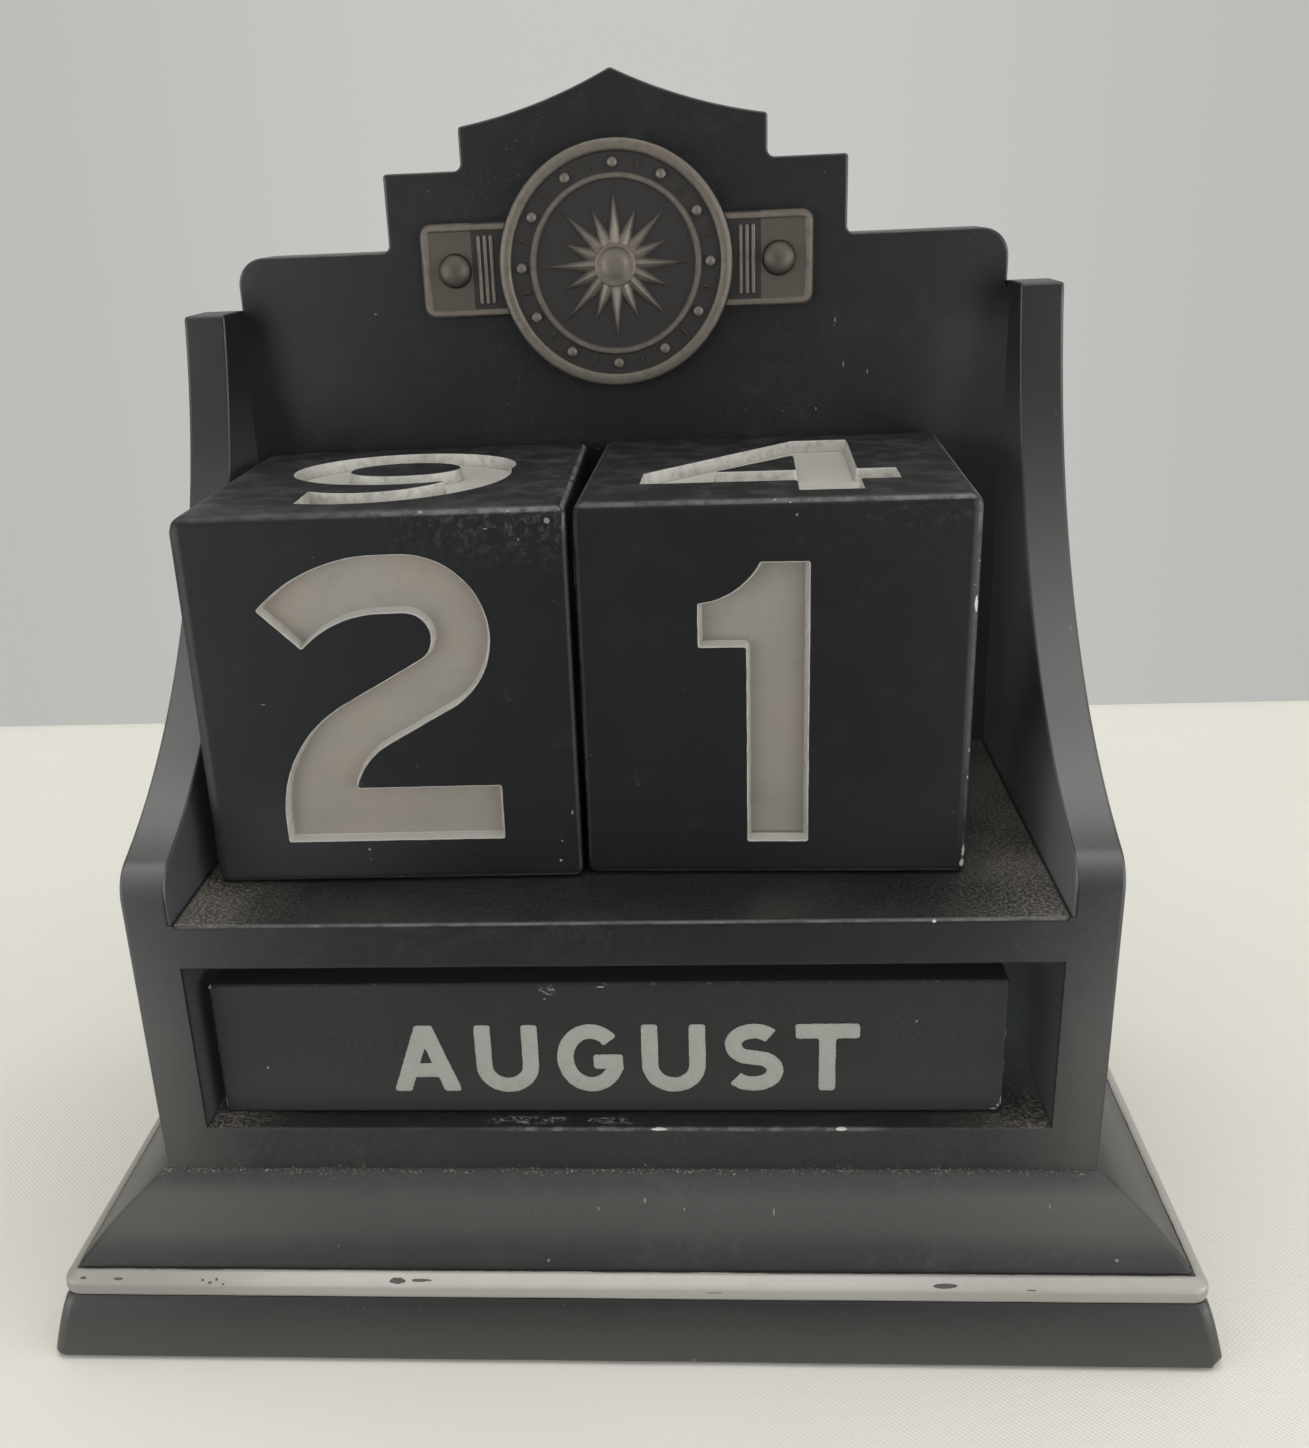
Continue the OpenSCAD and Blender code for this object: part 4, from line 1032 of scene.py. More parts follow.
def silver_trim():
    """The painted band: brushed-on silver with wavy edges, chips and grime, and painted shade on its lower facet and
    ends.
    """
    g = Nodes("trim_silver")
    x, y, z = g.xyz()
    along = g.noise(7.0, 4, 0.6)
    fine = g.noise(0.9, 4, 0.65)
    base = g.mix(along, (0.378, 0.364, 0.331), (0.452, 0.441, 0.405))
    base = g.mix(g.step(fine, 0.45, 0.8, 0.0, 0.35), base, (0.36, 0.35, 0.325))
    # painted shade: the band's lower facet is painted darker, and so are its ends, the left end most
    base = g.mix(g.step(g.add(z, g.mul(g.sub(fine, 0.5), 0.5)), 9.95, 9.45, 0.0, 0.60), base, (0.245, 0.238, 0.222))
    base = g.mix(g.step(g.math("ABSOLUTE", g.add(x, 6.0)), 28.0, 52.0, 0.0, 0.45), base, (0.235, 0.225, 0.200))
    base = g.mix(g.step(x, -36.0, -60.0, 0.0, 0.42), base, (0.17, 0.165, 0.150))
    # grime along the foot of the slope
    off = g.top(g.sub(g.math("ABSOLUTE", x), HOUSE_X), g.sub(g.math("ABSOLUTE", y), HOUSE_Y))
    wav = g.mul(g.sub(g.noise(5.0, 4, 0.65), 0.5), 0.55)
    dark = g.step(g.add(off, wav), 9.42, 9.30)
    low_ = g.step(g.add(z, g.mul(g.sub(g.noise(8.0, 3, 0.6, v=g.vadd(g.p, (40.0, 0.0, 0.0))), 0.5), 0.5)), 8.26, 8.14)
    bits = g.mul(g.specks(1.5, 0.17, 0.20, seed=6), g.step(off, 10.9, 9.6))
    chip = None
    for cx, cz, rx, rz in ((-26.7, 10.30, 0.80, 0.20), (-23.8, 10.36, 0.95, 0.10), (37.7, 10.22, 1.15, 0.17), (-60.9, 10.3, 0.50, 0.09), (-65.2, 10.35, 0.30, 0.08),
                           (-50.4, 10.25, 0.16, 0.09), (-49.5, 10.05, 0.22, 0.09), (-48.7, 10.3, 0.14, 0.10), (-47.9, 9.9, 0.12, 0.08), (11.0, 9.3, 0.9, 0.05), (47.5, 9.9, 0.5, 0.06)):
        q = g.vec(g.math("DIVIDE", g.sub(x, cx), rx), 0.0, g.math("DIVIDE", g.sub(z, cz), rz))
        ln = g.t.nodes.new("ShaderNodeVectorMath")
        ln.operation = "LENGTH"
        g.put(ln.inputs[0], q)
        d = g.add(ln.outputs["Value"], g.mul(g.sub(g.noise(0.7, 3, 0.6), 0.5), 1.1))
        d = g.add(d, g.step(y, -40.0, -38.0, 0.0, 5.0))
        chip = d if chip is None else g.low(chip, d)
    gap = g.step(chip, 0.86, 0.78)
    rim = g.mul(g.step(chip, 1.25, 1.12), g.sub(1.0, gap))
    black = g.top(g.top(dark, low_), g.mul(bits, 0.8))
    base = g.mix(black, base, (0.030, 0.028, 0.026))
    base = g.mix(g.mul(rim, 0.9), base, (0.016, 0.015, 0.014))
    base = g.mix(gap, base, (0.060, 0.058, 0.053))
    every = g.top(black, gap)
    rough = g.blend(every, g.blend(fine, 0.40, 0.56), 0.60)
    metal = g.blend(every, 0.30, 0.0)
    h = g.add(g.mul(fine, 0.7), g.add(g.mul(g.noise(3.0, 2, 0.5), 0.8), g.mul(every, -1.6)))
    return g.finish(base, rough, g.bump(h, 0.07, 0.6), metallic=metal, specular=0.5)


def letter_print():
    g = Nodes("month_print")
    a = g.noise(2.4, 4, 0.6)
    base = g.mix(a, (0.228, 0.226, 0.206), (0.280, 0.277, 0.254))
    base = g.mix(g.step(g.noise(0.45, 3, 0.65), 0.50, 0.80, 0.0, 0.6), base, (0.165, 0.162, 0.148))
    base = g.mix(g.mul(g.specks(1.8, 0.14, 0.20, seed=8), 0.7), base, (0.08, 0.078, 0.07))
    h = g.noise(0.4, 3, 0.6)
    return g.finish(base, g.blend(a, 0.62, 0.75), g.bump(h, 0.03, 0.6), specular=0.35)


def pewter(name):
    """Antiqued metal: dark in what is sunk, rubbed light on what is raised."""
    g = Nodes(name)
    x, y, z = g.xyz()
    u, v, w = x, g.sub(z, EMBLEM_Z), g.sub(PANEL_Y, y)
    r = g.math("SQRT", g.add(g.mul(u, u), g.mul(v, v)))
    in_disc = g.step(r, 15.5, 15.35)
    n1 = g.noise(1.0, 4, 0.65)
    n2 = g.noise(4.5, 4, 0.6)
    disc_h = g.step(w, 1.93, 2.38)
    strap_h = g.step(w, 1.30, 1.47)
    # the flat tab around each rivet is rubbed too
    tab = g.step(g.math("ABSOLUTE", u), 18.9, 19.1)
    raised = g.blend(in_disc, g.top(strap_h, g.mul(tab, 0.62)), disc_h)
    raised = g.add(raised, g.mul(g.sub(n1, 0.5), 0.55))
    mid = g.mix(n2, (0.076, 0.063, 0.052), (0.100, 0.085, 0.072))
    base = g.mix(g.step(raised, 0.05, 0.55), (0.018, 0.0165, 0.015), mid)
    base = g.mix(g.step(raised, 0.66, 1.15, 0.0, 0.55), base, (0.225, 0.200, 0.172))
    base = g.mix(g.mul(g.specks(1.6, 0.14, 0.16, seed=9), 0.5), base, (0.05, 0.042, 0.035))
    rough = g.blend(g.step(raised, 0.1, 0.9), 0.75, 0.50)
    metal = g.step(raised, 0.0, 0.5, 0.10, 0.55)
    h = g.add(g.mul(n1, 0.8), g.mul(g.noise(0.3, 3, 0.6), 0.5))
    return g.finish(base, rough, g.bump(h, 0.06, 0.6), metallic=metal, specular=0.4)


def rivet_metal():
    """Rivets: light on the crown, dark round the foot."""
    g = Nodes("rivet_pewter")
    x, y, z = g.xyz()
    w = g.sub(PANEL_Y, y)
    n1 = g.noise(0.9, 4, 0.65)
    k = g.add(g.step(w, 1.5, 2.7), g.mul(g.sub(n1, 0.5), 0.6))
    base = g.mix(g.step(k, 0.0, 0.55), (0.016, 0.014, 0.012), (0.066, 0.055, 0.045))
    base = g.mix(g.step(k, 0.55, 1.15, 0.0, 0.5), base, (0.12, 0.104, 0.088))
    h = g.add(g.mul(n1, 0.8), g.mul(g.noise(0.3, 3, 0.6), 0.5))
    return g.finish(base, g.blend(n1, 0.46, 0.60), g.bump(h, 0.05, 0.6), metallic=0.55, specular=0.4)


def felt():
    g = Nodes("base_felt")
    a = g.noise(0.5, 5, 0.75)
    b = g.noise(0.12, 3, 0.7)
    fib = g.noise(0.25, 4, 0.7, v=g.vmul(g.p, (0.25, 1.0, 1.0)))
    base = g.mix(g.step(g.add(g.mul(a, 0.6), g.mul(fib, 0.4)), 0.35, 0.7), (0.012, 0.012, 0.013), (0.045, 0.045, 0.047))
    base = g.mix(g.mul(g.specks(3.0, 0.2, 0.15), 0.5), base, (0.2, 0.2, 0.19))
    h = g.add(a, g.add(g.mul(b, 0.8), fib))
    return g.finish(base, 0.95, g.bump(h, 0.30, 0.9), specular=0.15)


MAT_STAND = black_stand()
MAT_LEFT = black_cube("left_cube_black", 1.0, 1, chips=((20.5, -22.5, 20.9, 0.34, 0.3, 0.34), (6.4, -22.2, 22.2, 0.28, 0.5, 0.16), (17.2, -22.5, 18.9, 0.10, 0.3, 0.16), (13.6, -22.5, 20.2, 0.22, 0.3, 0.07),
    (21.6, -22.4, -14.0, 0.14, 0.3, 0.30), (20.2, -22.5, -17.6, 0.10, 0.3, 0.14), (-3.2, -22.5, -19.6, 0.16, 0.3, 0.06)))
MAT_RIGHT = black_cube("right_cube_black", 2.0, -1, chips=(
    (22.3, -22.3, 10.2, 0.30, 0.45, 1.1), (22.35, -22.3, 15.0, 0.22, 0.35, 0.4), (22.2, -22.3, -19.6, 0.26, 0.45, 0.8),
    (22.1, -22.3, -21.3, 0.36, 0.45, 0.6), (22.3, -22.3, -10.5, 0.2, 0.35, 0.45), (22.3, -22.3, -15.5, 0.15, 0.35, 0.5)))
MAT_BARS = [black_bar("front_bar_black", 1.0, chips=(
    (-47.45, -8.75, 8.75, 0.26, 0.45, 0.28), (47.42, -8.85, -7.35, 0.08, 0.35, 0.60), (47.1, -8.85, -8.0, 0.16, 0.35, 0.22),
    (46.6, -8.9, -8.5, 0.42, 0.35, 0.10), (47.55, -8.7, 2.0, 0.10, 0.3, 0.30), (47.55, -8.7, -2.2, 0.10, 0.3, 0.22),
    (-47.45, -8.85, -7.5, 0.07, 0.3, 0.8), (-47.5, -8.85, 0.2, 0.08, 0.3, 0.22), (-41.6, -8.95, -2.5, 0.15, 0.3, 0.15),
    (-0.1, -8.95, 8.45, 0.5, 0.3, 0.10)), patch=(-6.5, -8.95, 8.1, 1.0, 0.4, 0.85)), black_bar("middle_bar_black", 2.0), black_bar("rear_bar_black", 3.0)]
MAT_NUM_L = silver_numerals("left_numeral_silver", 1.0)
MAT_NUM_R = silver_numerals("right_numeral_silver", 2.0)
MAT_TRIM = silver_trim()
MAT_PRINT = letter_print()
MAT_PEWTER = pewter("emblem_pewter")
MAT_RIVET = rivet_metal()
MAT_FELT = felt()


# ------------------------------------------------------------------ plinth
def offset_rings(pts, corner):
    """Rings of the plinth's moulding. pts: (stand out, height)."""
    return [[(a, b, z) for a, b in dense_ring(HOUSE_X + o, HOUSE_Y + o, corner(o, z))] for o, z in pts]


OV = 31.0
ovolo = [(OV * (math.sin(math.radians(t)) - math.sin(math.radians(29))),
          PLINTH_H - OV * (math.cos(math.radians(29)) - math.cos(math.radians(t))))
         for t in [29 + 22 * i / 14 for i in range(15)]]
foot = [(10.7 + (12.8 - 10.7) * (i / 12) ** 0.7, 8.0 - (8.0 - 0.95) * i / 12) for i in range(13)]
PAD_X, PAD_Y = HOUSE_X + 12.8 - 6.0, HOUSE_Y + 12.8 - 6.0


def pad_ring(hx, hy, rc, z):
    return [(a, b, z) for a, b in dense_ring(hx, hy, rc)]


profile = ([(-0.25, PLINTH_H)] + [(o, z) for o, z in ovolo] + [(9.12, 11.32), (9.16, 11.22), (9.16, 11.0), (8.35, 11.0), (8.35, 8.0)]
           + [(10.55, 8.0), (10.67, 7.95)] + foot[1:] + [(12.79, 0.78), (12.74, 0.60), (12.63, 0.45), (12.47, 0.36), (12.25, 0.31), (12.0, 0.3)])


def corner_r(o, z):
    return 0.30 + 0.06 * max(o, 0) if z > 7.99 else 1.5


rings = offset_rings(profile, corner_r)
rings += [pad_ring(PAD_X + 0.2, PAD_Y + 0.2, 0.6, 0.3), pad_ring(PAD_X + 0.2, PAD_Y + 0.2, 0.6, 1.3)]
bm = loft(rings)
# the casting is a little uneven: soft waves in the foot and the slope
for v in bm.verts:
    if 0.35 < v.co.z < 18.5 and max(abs(v.co.x) - HOUSE_X, abs(v.co.y) - HOUSE_Y) > 0.8:
        k = noise.noise(v.co / 21.0) * 0.10
        d = Vector((math.copysign(1, v.co.x) if abs(v.co.x) - HOUSE_X > abs(v.co.y) - HOUSE_Y else 0,
                    math.copysign(1, v.co.y) if abs(v.co.y) - HOUSE_Y >= abs(v.co.x) - HOUSE_X else 0, 0))
        if max(abs(v.co.x) - HOUSE_X, abs(v.co.y) - HOUSE_Y) < 8.2 or v.co.z < 7.0:
            v.co -= d * abs(k)


# a knocked corner at the front right of the foot
def rough_lump(centre, size, seed, flat):
    b = bmesh.new()
    bmesh.ops.create_icosphere(b, subdivisions=3, radius=1.0)
    for v in b.verts:
        k = 1.0 + 0.13 * noise.noise(v.co * 1.7 + Vector((seed, 0, 0))) + 0.06 * noise.noise(v.co * 5.0 + Vector((0, seed, 0)))
        v.co = Vector((v.co.x * size[0] * k, v.co.y * size[1] * k, v.co.z * size[2] * k))
    bmesh.ops.rotate(b, verts=b.verts, cent=(0, 0, 0), matrix=flat)
    bmesh.ops.translate(b, verts=b.verts, vec=centre)
    return b


lump = rough_lump(Vector((70.7, -46.95, 0.0)), (3.4, 2.7, 2.6), 3.0, Matrix.Rotation(math.radians(45), 3, "Z"))
small = rough_lump(Vector((50.5, -46.6, 0.0)), (1.5, 0.8, 0.75), 8.0, Matrix.Identity(3))
bm = boolean(bm, [lump, small], "DIFFERENCE")
plinth = piece("plinth", bm, MAT_STAND, "stand", ["plinth"])

# the band: a closed section run round the plinth
band = [(8.40, 8.03), (10.45, 8.03), (10.70, 8.09), (10.87, 8.24), (10.96, 8.46), (11.0, 8.75), (11.0, 9.45), (10.96, 9.72),
        (10.86, 9.96), (10.70, 10.15), (10.48, 10.33), (9.96, 10.72), (9.78, 10.83), (9.58, 10.88), (8.40, 10.90)]
rings = offset_rings(band, lambda o, z: 0.3 + 0.85 * max(o - 8.9, 0))
bm = loft(rings, closed=True)
for v in bm.verts:
    o = max(abs(v.co.x) - HOUSE_X, abs(v.co.y) - HOUSE_Y)
    if o > 9.4:
        k = 0.05 * noise.noise(v.co / 6.0) + 0.03 * noise.noise(v.co / 2.0)
        v.co.x -= math.copysign(abs(k), v.co.x) if abs(v.co.x) - HOUSE_X > 9.4 else 0
        v.co.y -= math.copysign(abs(k), v.co.y) if abs(v.co.y) - HOUSE_Y > 9.4 else 0
trim = piece("trim_band", bm, MAT_TRIM, "stand", ["trim_band"])

# felt pad with soft edges
rings = [pad_ring(PAD_X - i_, PAD_Y - i_, 2.0, z) for i_, z in ((0.6, 1.28), (0.12, 1.2), (0.0, 0.9), (0.0, 0.35), (0.10, 0.12), (0.35, 0.0))]
pad = piece("base_pad", loft(rings), MAT_FELT, "stand", ["base_pad"])


# ------------------------------------------------------------------ housing
sh_r, sh_a, sw_r = 4.5, 109.6, 75.0
cosd, sind = lambda a: math.cos(math.radians(a)), lambda a: math.sin(math.radians(a))
sw_c = (sh_r * (1 + cosd(sh_a)) - sw_r * cosd(sh_a - 180), SHELF_Z + 2.9 + sh_r * sind(sh_a) - sw_r * sind(sh_a - 180))
sw_end = math.degrees(math.asin((CHEEK_Z - sw_c[1]) / sw_r))
edge_pts = [(0.0, PLINTH_H), (0.0, SHELF_Z)]
edge_pts += arc(sh_r, SHELF_Z + 2.9, sh_r, sh_r, 180, sh_a, 10)
edge_pts += [(sw_c[0] + sw_r * cosd(a), sw_c[1] + sw_r * sind(a))
             for a in [(sh_a - 180) + (sw_end - sh_a + 180) * i / 44 for i in range(1, 45)]]
tip_y = FACE_Y + edge_pts[-1][0]
cheek_out = edge_pts + arc(59.5, CHEEK_Z - 7, 7, 7, 90, 0, 10) + [(66.5, PLINTH_H)]


def cheek(side):
    """side -1 left, +1 right."""
    x_in, x_out = side * BAY, side * HOUSE_X
    bm_ = prism(cheek_out, lambda a, b, c: (x_in + (x_out - x_in) * c, FACE_Y + a, b), 1.0)
    x0, x1 = sorted((side * (BAY - 1), side * WING))
    bm_ = boolean(bm_, [box_bm(x0, x1, FACE_Y - 1, PANEL_Y, SHELF_Z, CHEEK_Z + 1)], "DIFFERENCE")

    def weigh(e):
        a, b = e.verts[0].co, e.verts[1].co
        mid = (a + b) / 2
        if abs(a.x - b.x) > 0.1:
            return 0.36 if math.hypot(mid.y - tip_y, mid.z - CHEEK_Z) < 0.05 else 0.0
        if mid.z < PLINTH_H + 0.01:
            return 0.0
        if abs(abs(mid.x) - HOUSE_X) < 1e-2:
            return 0.42
        if mid.y > PANEL_Y - 0.01 or abs(a.z - b.z) < 0.01 and mid.z < CHEEK_Z - 1:
            return 0.0
        return 0.0 if mid.z < SHELF_Z else 0.32
    return bevelled(bm_, weigh, 1.2, 5, clamp=False)


left_cheek = piece("left_cheek", cheek(-1), MAT_STAND, "stand", ["left_cheek"])
right_cheek = piece("right_cheek", cheek(1), MAT_STAND, "stand", ["right_cheek"])


def front_edge(lip_top, lip_low):
    def weigh(e):
        a, b = e.verts[0].co, e.verts[1].co
        if abs(a.x - b.x) < 1 or max(a.y, b.y) > FACE_Y + 0.01:
            return 0.0
        return lip_top if a.z > e_mid else lip_low
    return weigh


bm = box_bm(-BAY, BAY, FACE_Y, PANEL_Y, CAV_Z, SHELF_Z)
e_mid = (CAV_Z + SHELF_Z) / 2
bm = bevelled(bm, front_edge(1.0, 0.75), 0.62, 4)
shelf = piece("shelf", bm, MAT_STAND, "stand", ["shelf"])
bm = box_bm(-BAY, BAY, FACE_Y, PANEL_Y, PLINTH_H, FLOOR_Z)
e_mid = (PLINTH_H + FLOOR_Z) / 2
bm = bevelled(bm, front_edge(1.0, 0.0), 0.20, 3)
cavity_floor = piece("cavity_floor", bm, MAT_STAND, "stand", ["cavity_floor"])

# back panel
PEAK, GW, GR, SW, SR, LR, LRAD, GRAD, FIL = 27.5, 19.9, 21.4, 30.2, 16.2, 6.6, 3.6, 70.0, 0.9
rise_ = PEAK - GR
chord = math.hypot(GW, rise_)
g_t = math.degrees(math.atan2(rise_, GW))
g_d = math.degrees(math.asin(chord / 2 / GRAD))
h_ = math.sqrt(GRAD ** 2 - chord ** 2 / 4)
gc = (GW / 2 + h_ * sind(g_t), CHEEK_Z + GR + rise_ / 2 + h_ * cosd(g_t))
half = [(BAY, PLINTH_H), (BAY, CHEEK_Z - 0.9), (BAY, CHEEK_Z)]
half += arc(BAY - LRAD, CHEEK_Z + LR - LRAD, LRAD, LRAD, 0, 90, 14)
half += arc(SW + FIL, CHEEK_Z + LR + FIL, FIL, FIL, 270, 180, 6)
half += [(SW, CHEEK_Z + SR)]
half += arc(GW + FIL, CHEEK_Z + SR + FIL, FIL, FIL, 270, 180, 6)
half += [(gc[0] + GRAD * cosd(a), gc[1] + GRAD * sind(a)) for a in [-90 - g_t + g_d - 2 * g_d * i / 16 for i in range(17)]]
half[-1] = (0.0, CHEEK_Z + PEAK)
panel_out = half + [(-x_, z_) for x_, z_ in half[::-1] if x_ > 0.01]
body_part = [p for p in panel_out]
# soften the sharp outline corners above the cheeks
softened = []
n_ = len(body_part)
for i in range(n_):
    a, b, c = Vector(body_part[i - 1]), Vector(body_part[i]), Vector(body_part[(i + 1) % n_])
    ang = math.degrees(math.pi - (a - b).angle(c - b)) if (a - b).length > 1e-6 and (c - b).length > 1e-6 else 0
    if b.y > CHEEK_Z + 1 and ang > 24:
        r_ = 0.55
        t_ = min(r_ * math.tan(math.radians(ang) / 2), 0.4 * (a - b).length, 0.4 * (c - b).length)
        s_, e_ = b + (a - b).normalized() * t_, b + (c - b).normalized() * t_
        for k in range(5):
            q = k / 4
            softened.append(tuple(s_ * (1 - q) ** 2 + b * 2 * q * (1 - q) + e_ * q ** 2))
    else:
        softened.append(tuple(b))
bm = prism(softened, lambda a, b, c: (a, PANEL_Y + c, b), BACK_Y - PANEL_Y)


def panel_weigh(e):
    a, b = e.verts[0].co, e.verts[1].co
    if abs(a.y - b.y) > 1 or min(a.z, b.z) < CHEEK_Z - 0.01:
        return 0.0
    return 1.0


bm = bevelled(bm, panel_weigh, 0.32, 3, clamp=False)
RIVET_X = 21.3
X_, Y_, Z_ = Vector((1, 0, 0)), Vector((0, 1, 0)), Vector((0, 0, 1))
holes = [ccw(oval(s * RIVET_X, EMBLEM_Z, 1.25, 1.25, 28)) for s in (-1, 1)]
bm = carve(bm, Vector((0, PANEL_Y, 0)), X_, Z_, holes, [(0.0, 0.0), (0.0, 5.1)])
back_panel = piece("back_panel", bm, MAT_STAND, "stand", ["back_panel"])


# ------------------------------------------------------------------ emblem
def on_panel(u, v, w):
    return (u, PANEL_Y - w, EMBLEM_Z + v)


strap = ccw(rect_ring(25.75, 5.9, 1.5, 6))
rivet_holes = [oval(s * RIVET_X, 0, 1.25, 1.25, 28)[::-1] for s in (-1, 1)]
bm = bmesh.new()
sink = Sink(bm)
strap_profile = [(0.0, 0.0), (0.0, 1.02), (-0.10, 1.26), (-0.30, 1.43), (-0.55, 1.49), (-0.85, 1.46), (-1.02, 1.34), (-1.12, 1.26)]
rings_ = [grow(strap, g_) for g_, _ in strap_profile]
for k in range(len(rings_) - 1):
    a, b = rings_[k], rings_[k + 1]
    for i in range(len(a)):
        j = (i + 1) % len(a)
        sink.face([on_panel(*a[i], strap_profile[k][1]), on_panel(*a[j], strap_profile[k][1]),
                   on_panel(*b[j], strap_profile[k + 1][1]), on_panel(*b[i], strap_profile[k + 1][1])])
for ring_, h in ((rings_[0], 0.0), (rings_[-1], 1.26)):
    pts, tris = fill([ring_] + rivet_holes)
    for t in tris:
        sink.face([on_panel(*pts[i], h) for i in t])
for lp in rivet_holes:
    for i in range(len(lp)):
        j = (i + 1) % len(lp)
        sink.face([on_panel(*lp[i], 0.0), on_panel(*lp[j], 0.0), on_panel(*lp[j], 1.26), on_panel(*lp[i], 1.26)])
bmesh.ops.recalc_face_normals(bm, faces=bm.faces)
strap_bm = bm

# reeds on the strap between rivet and disc
reeds = []
for s in (-1, 1):
    for k in range(3):
        c = s * (16.35 + 0.82 * k)
        reeds.append(slab_from([ccw([(c + a, b) for a, b in rect_ring(0.25, 4.3, 0.24, 4)])], on_panel,
                               [(0.0, 1.1), (0.0, 1.34), (-0.05, 1.44), (-0.14, 1.5)]))

# the disc: rim, bead channel, inner ring, floor
disc_prof = [(0.0, 0.0), (15.3, 0.0), (15.3, 1.95), (15.22, 2.25), (15.02, 2.47), (14.72, 2.58), (14.35, 2.6), (14.02, 2.5),
             (13.82, 2.3), (13.74, 2.05), (13.62, 1.92), (13.4, 1.9), (11.5, 1.9), (11.34, 1.95), (11.26, 2.12), (11.1, 2.28),
             (10.85, 2.33), (10.6, 2.28), (10.44, 2.12), (10.36, 1.95), (10.2, 1.9), (0.0, 1.9)]
disc_bm = lathe(disc_prof, on_panel, 112)

# sunburst: sixteen ridged rays round a domed hub
star = bmesh.new()
RAYS = 16
top_pts = {}


def sv(key, u, v, w):
    if key not in top_pts:
        top_pts[key] = star.verts.new(on_panel(u, v, w))
    return top_pts[key]


def pol(r, a):
    return r * math.cos(math.radians(a)), r * math.sin(math.radians(a))


base_star = star.verts.new(on_panel(0, 0, 1.4))
for i in range(RAYS):
    a = 90 + 360 * i / RAYS
    tip_r = 9.7 if i % 2 == 0 else 7.7
    al, ar = a - 180 / RAYS, a + 180 / RAYS
    T, B = sv(("t", i), *pol(tip_r, a), 1.98), sv(("b", i), *pol(2.5, a), 2.66)
    Vl, Vr = sv(("v", i), *pol(4.2, al), 1.98), sv(("v", (i + 1) % RAYS), *pol(4.2, ar), 1.98)
    Hl, Hr = sv(("h", i), *pol(2.5, al), 2.42), sv(("h", (i + 1) % RAYS), *pol(2.5, ar), 2.42)
    C = sv("c", 0, 0, 2.5)
    T0, Vl0, Vr0 = sv(("t0", i), *pol(tip_r, a), 1.4), sv(("v0", i), *pol(4.2, al), 1.4), sv(("v0", (i + 1) % RAYS), *pol(4.2, ar), 1.4)
    for f in ((B, T, Vl), (B, Vr, T), (B, Vl, Hl), (B, Hr, Vr), (C, B, Hl), (C, Hr, B),
              (T, T0, Vl0), (T, Vl0, Vl), (T, Vr0, T0), (T, Vr, Vr0), (base_star, Vl0, T0), (base_star, T0, Vr0)):
        star.faces.new(f)
bmesh.ops.recalc_face_normals(star, faces=star.faces)
hub = lathe([(0.0, 1.5), (2.75, 1.5), (2.75, 2.62), (2.66, 2.78), (2.45, 2.86), (2.25, 2.82), (2.12, 2.68), (1.9, 2.62), (1.7, 2.66),
             (1.45, 2.80), (1.1, 2.91), (0.6, 2.98), (0.0, 3.0)], on_panel, 48)
beads = []
for i in range(12):
    cu, cv = pol(12.4, 90 + 30 * i)
    beads.append(lathe([(0.0, 1.6), (0.74, 1.6), (0.74, 1.94), (0.70, 2.12), (0.58, 2.28), (0.40, 2.38), (0.2, 2.42), (0.0, 2.43)],
                       lambda a, b, h, cu=cu, cv=cv: on_panel(cu + a, cv + b, h), 18))
# small bars between the beads
darts = []
for i in range(12):
    a = 105 + 30 * i
    ca, sa = cosd(a), sind(a)
    lp = [(ca * (12.4 + p) - sa * q, sa * (12.4 + p) + ca * q) for p, q in rect_ring(0.55, 0.17, 0.16, 3)]
    darts.append(slab_from([ccw(lp)], on_panel, [(0.0, 1.7), (0.0, 2.08), (-0.05, 2.15), (-0.10, 2.18)]))
bm = boolean(disc_bm, [strap_bm, star, hub, join(beads), join(darts), join(reeds)], "UNION")
emblem = piece("emblem_plate", bm, MAT_PEWTER, "stand", ["emblem_plate"], sharp=26.0)

rivets = []
for s in (-1, 1):
    rivets.append(lathe([(0.0, -5.0), (0.95, -5.0), (1.2, -4.75), (1.2, 1.27), (2.08, 1.27), (2.20, 1.34), (2.18, 1.52), (2.08, 1.80), (1.91, 2.08),
                         (1.67, 2.33), (1.37, 2.54), (1.03, 2.70), (0.69, 2.80), (0.34, 2.85), (0.0, 2.87)],
                        lambda a, b, h, s=s: on_panel(s * RIVET_X + a, b, h), 44))
emblem_rivets = piece("emblem_rivets", join(rivets), MAT_RIVET, "stand", ["emblem_rivets"])

# ------------------------------------------------------------------ cubes
FACES = [(X_, Z_), (X_, Y_), (Y_, Z_), (-X_, Z_), (-Y_, Z_), (X_, -Y_)]   # front, top, right, back, left, underside


def numeral_loops(d, seed):
    loops = []
    for lp in outlines(numeral(d)):
        lp = [(a - 22.5, b - 22.5) for a, b in lp]
        lp = round_corners(lp, 0.30, n=3)
        loops.append(ragged(lp, 0.035, 1.4, seed + d, longest=0.9))
    return loops


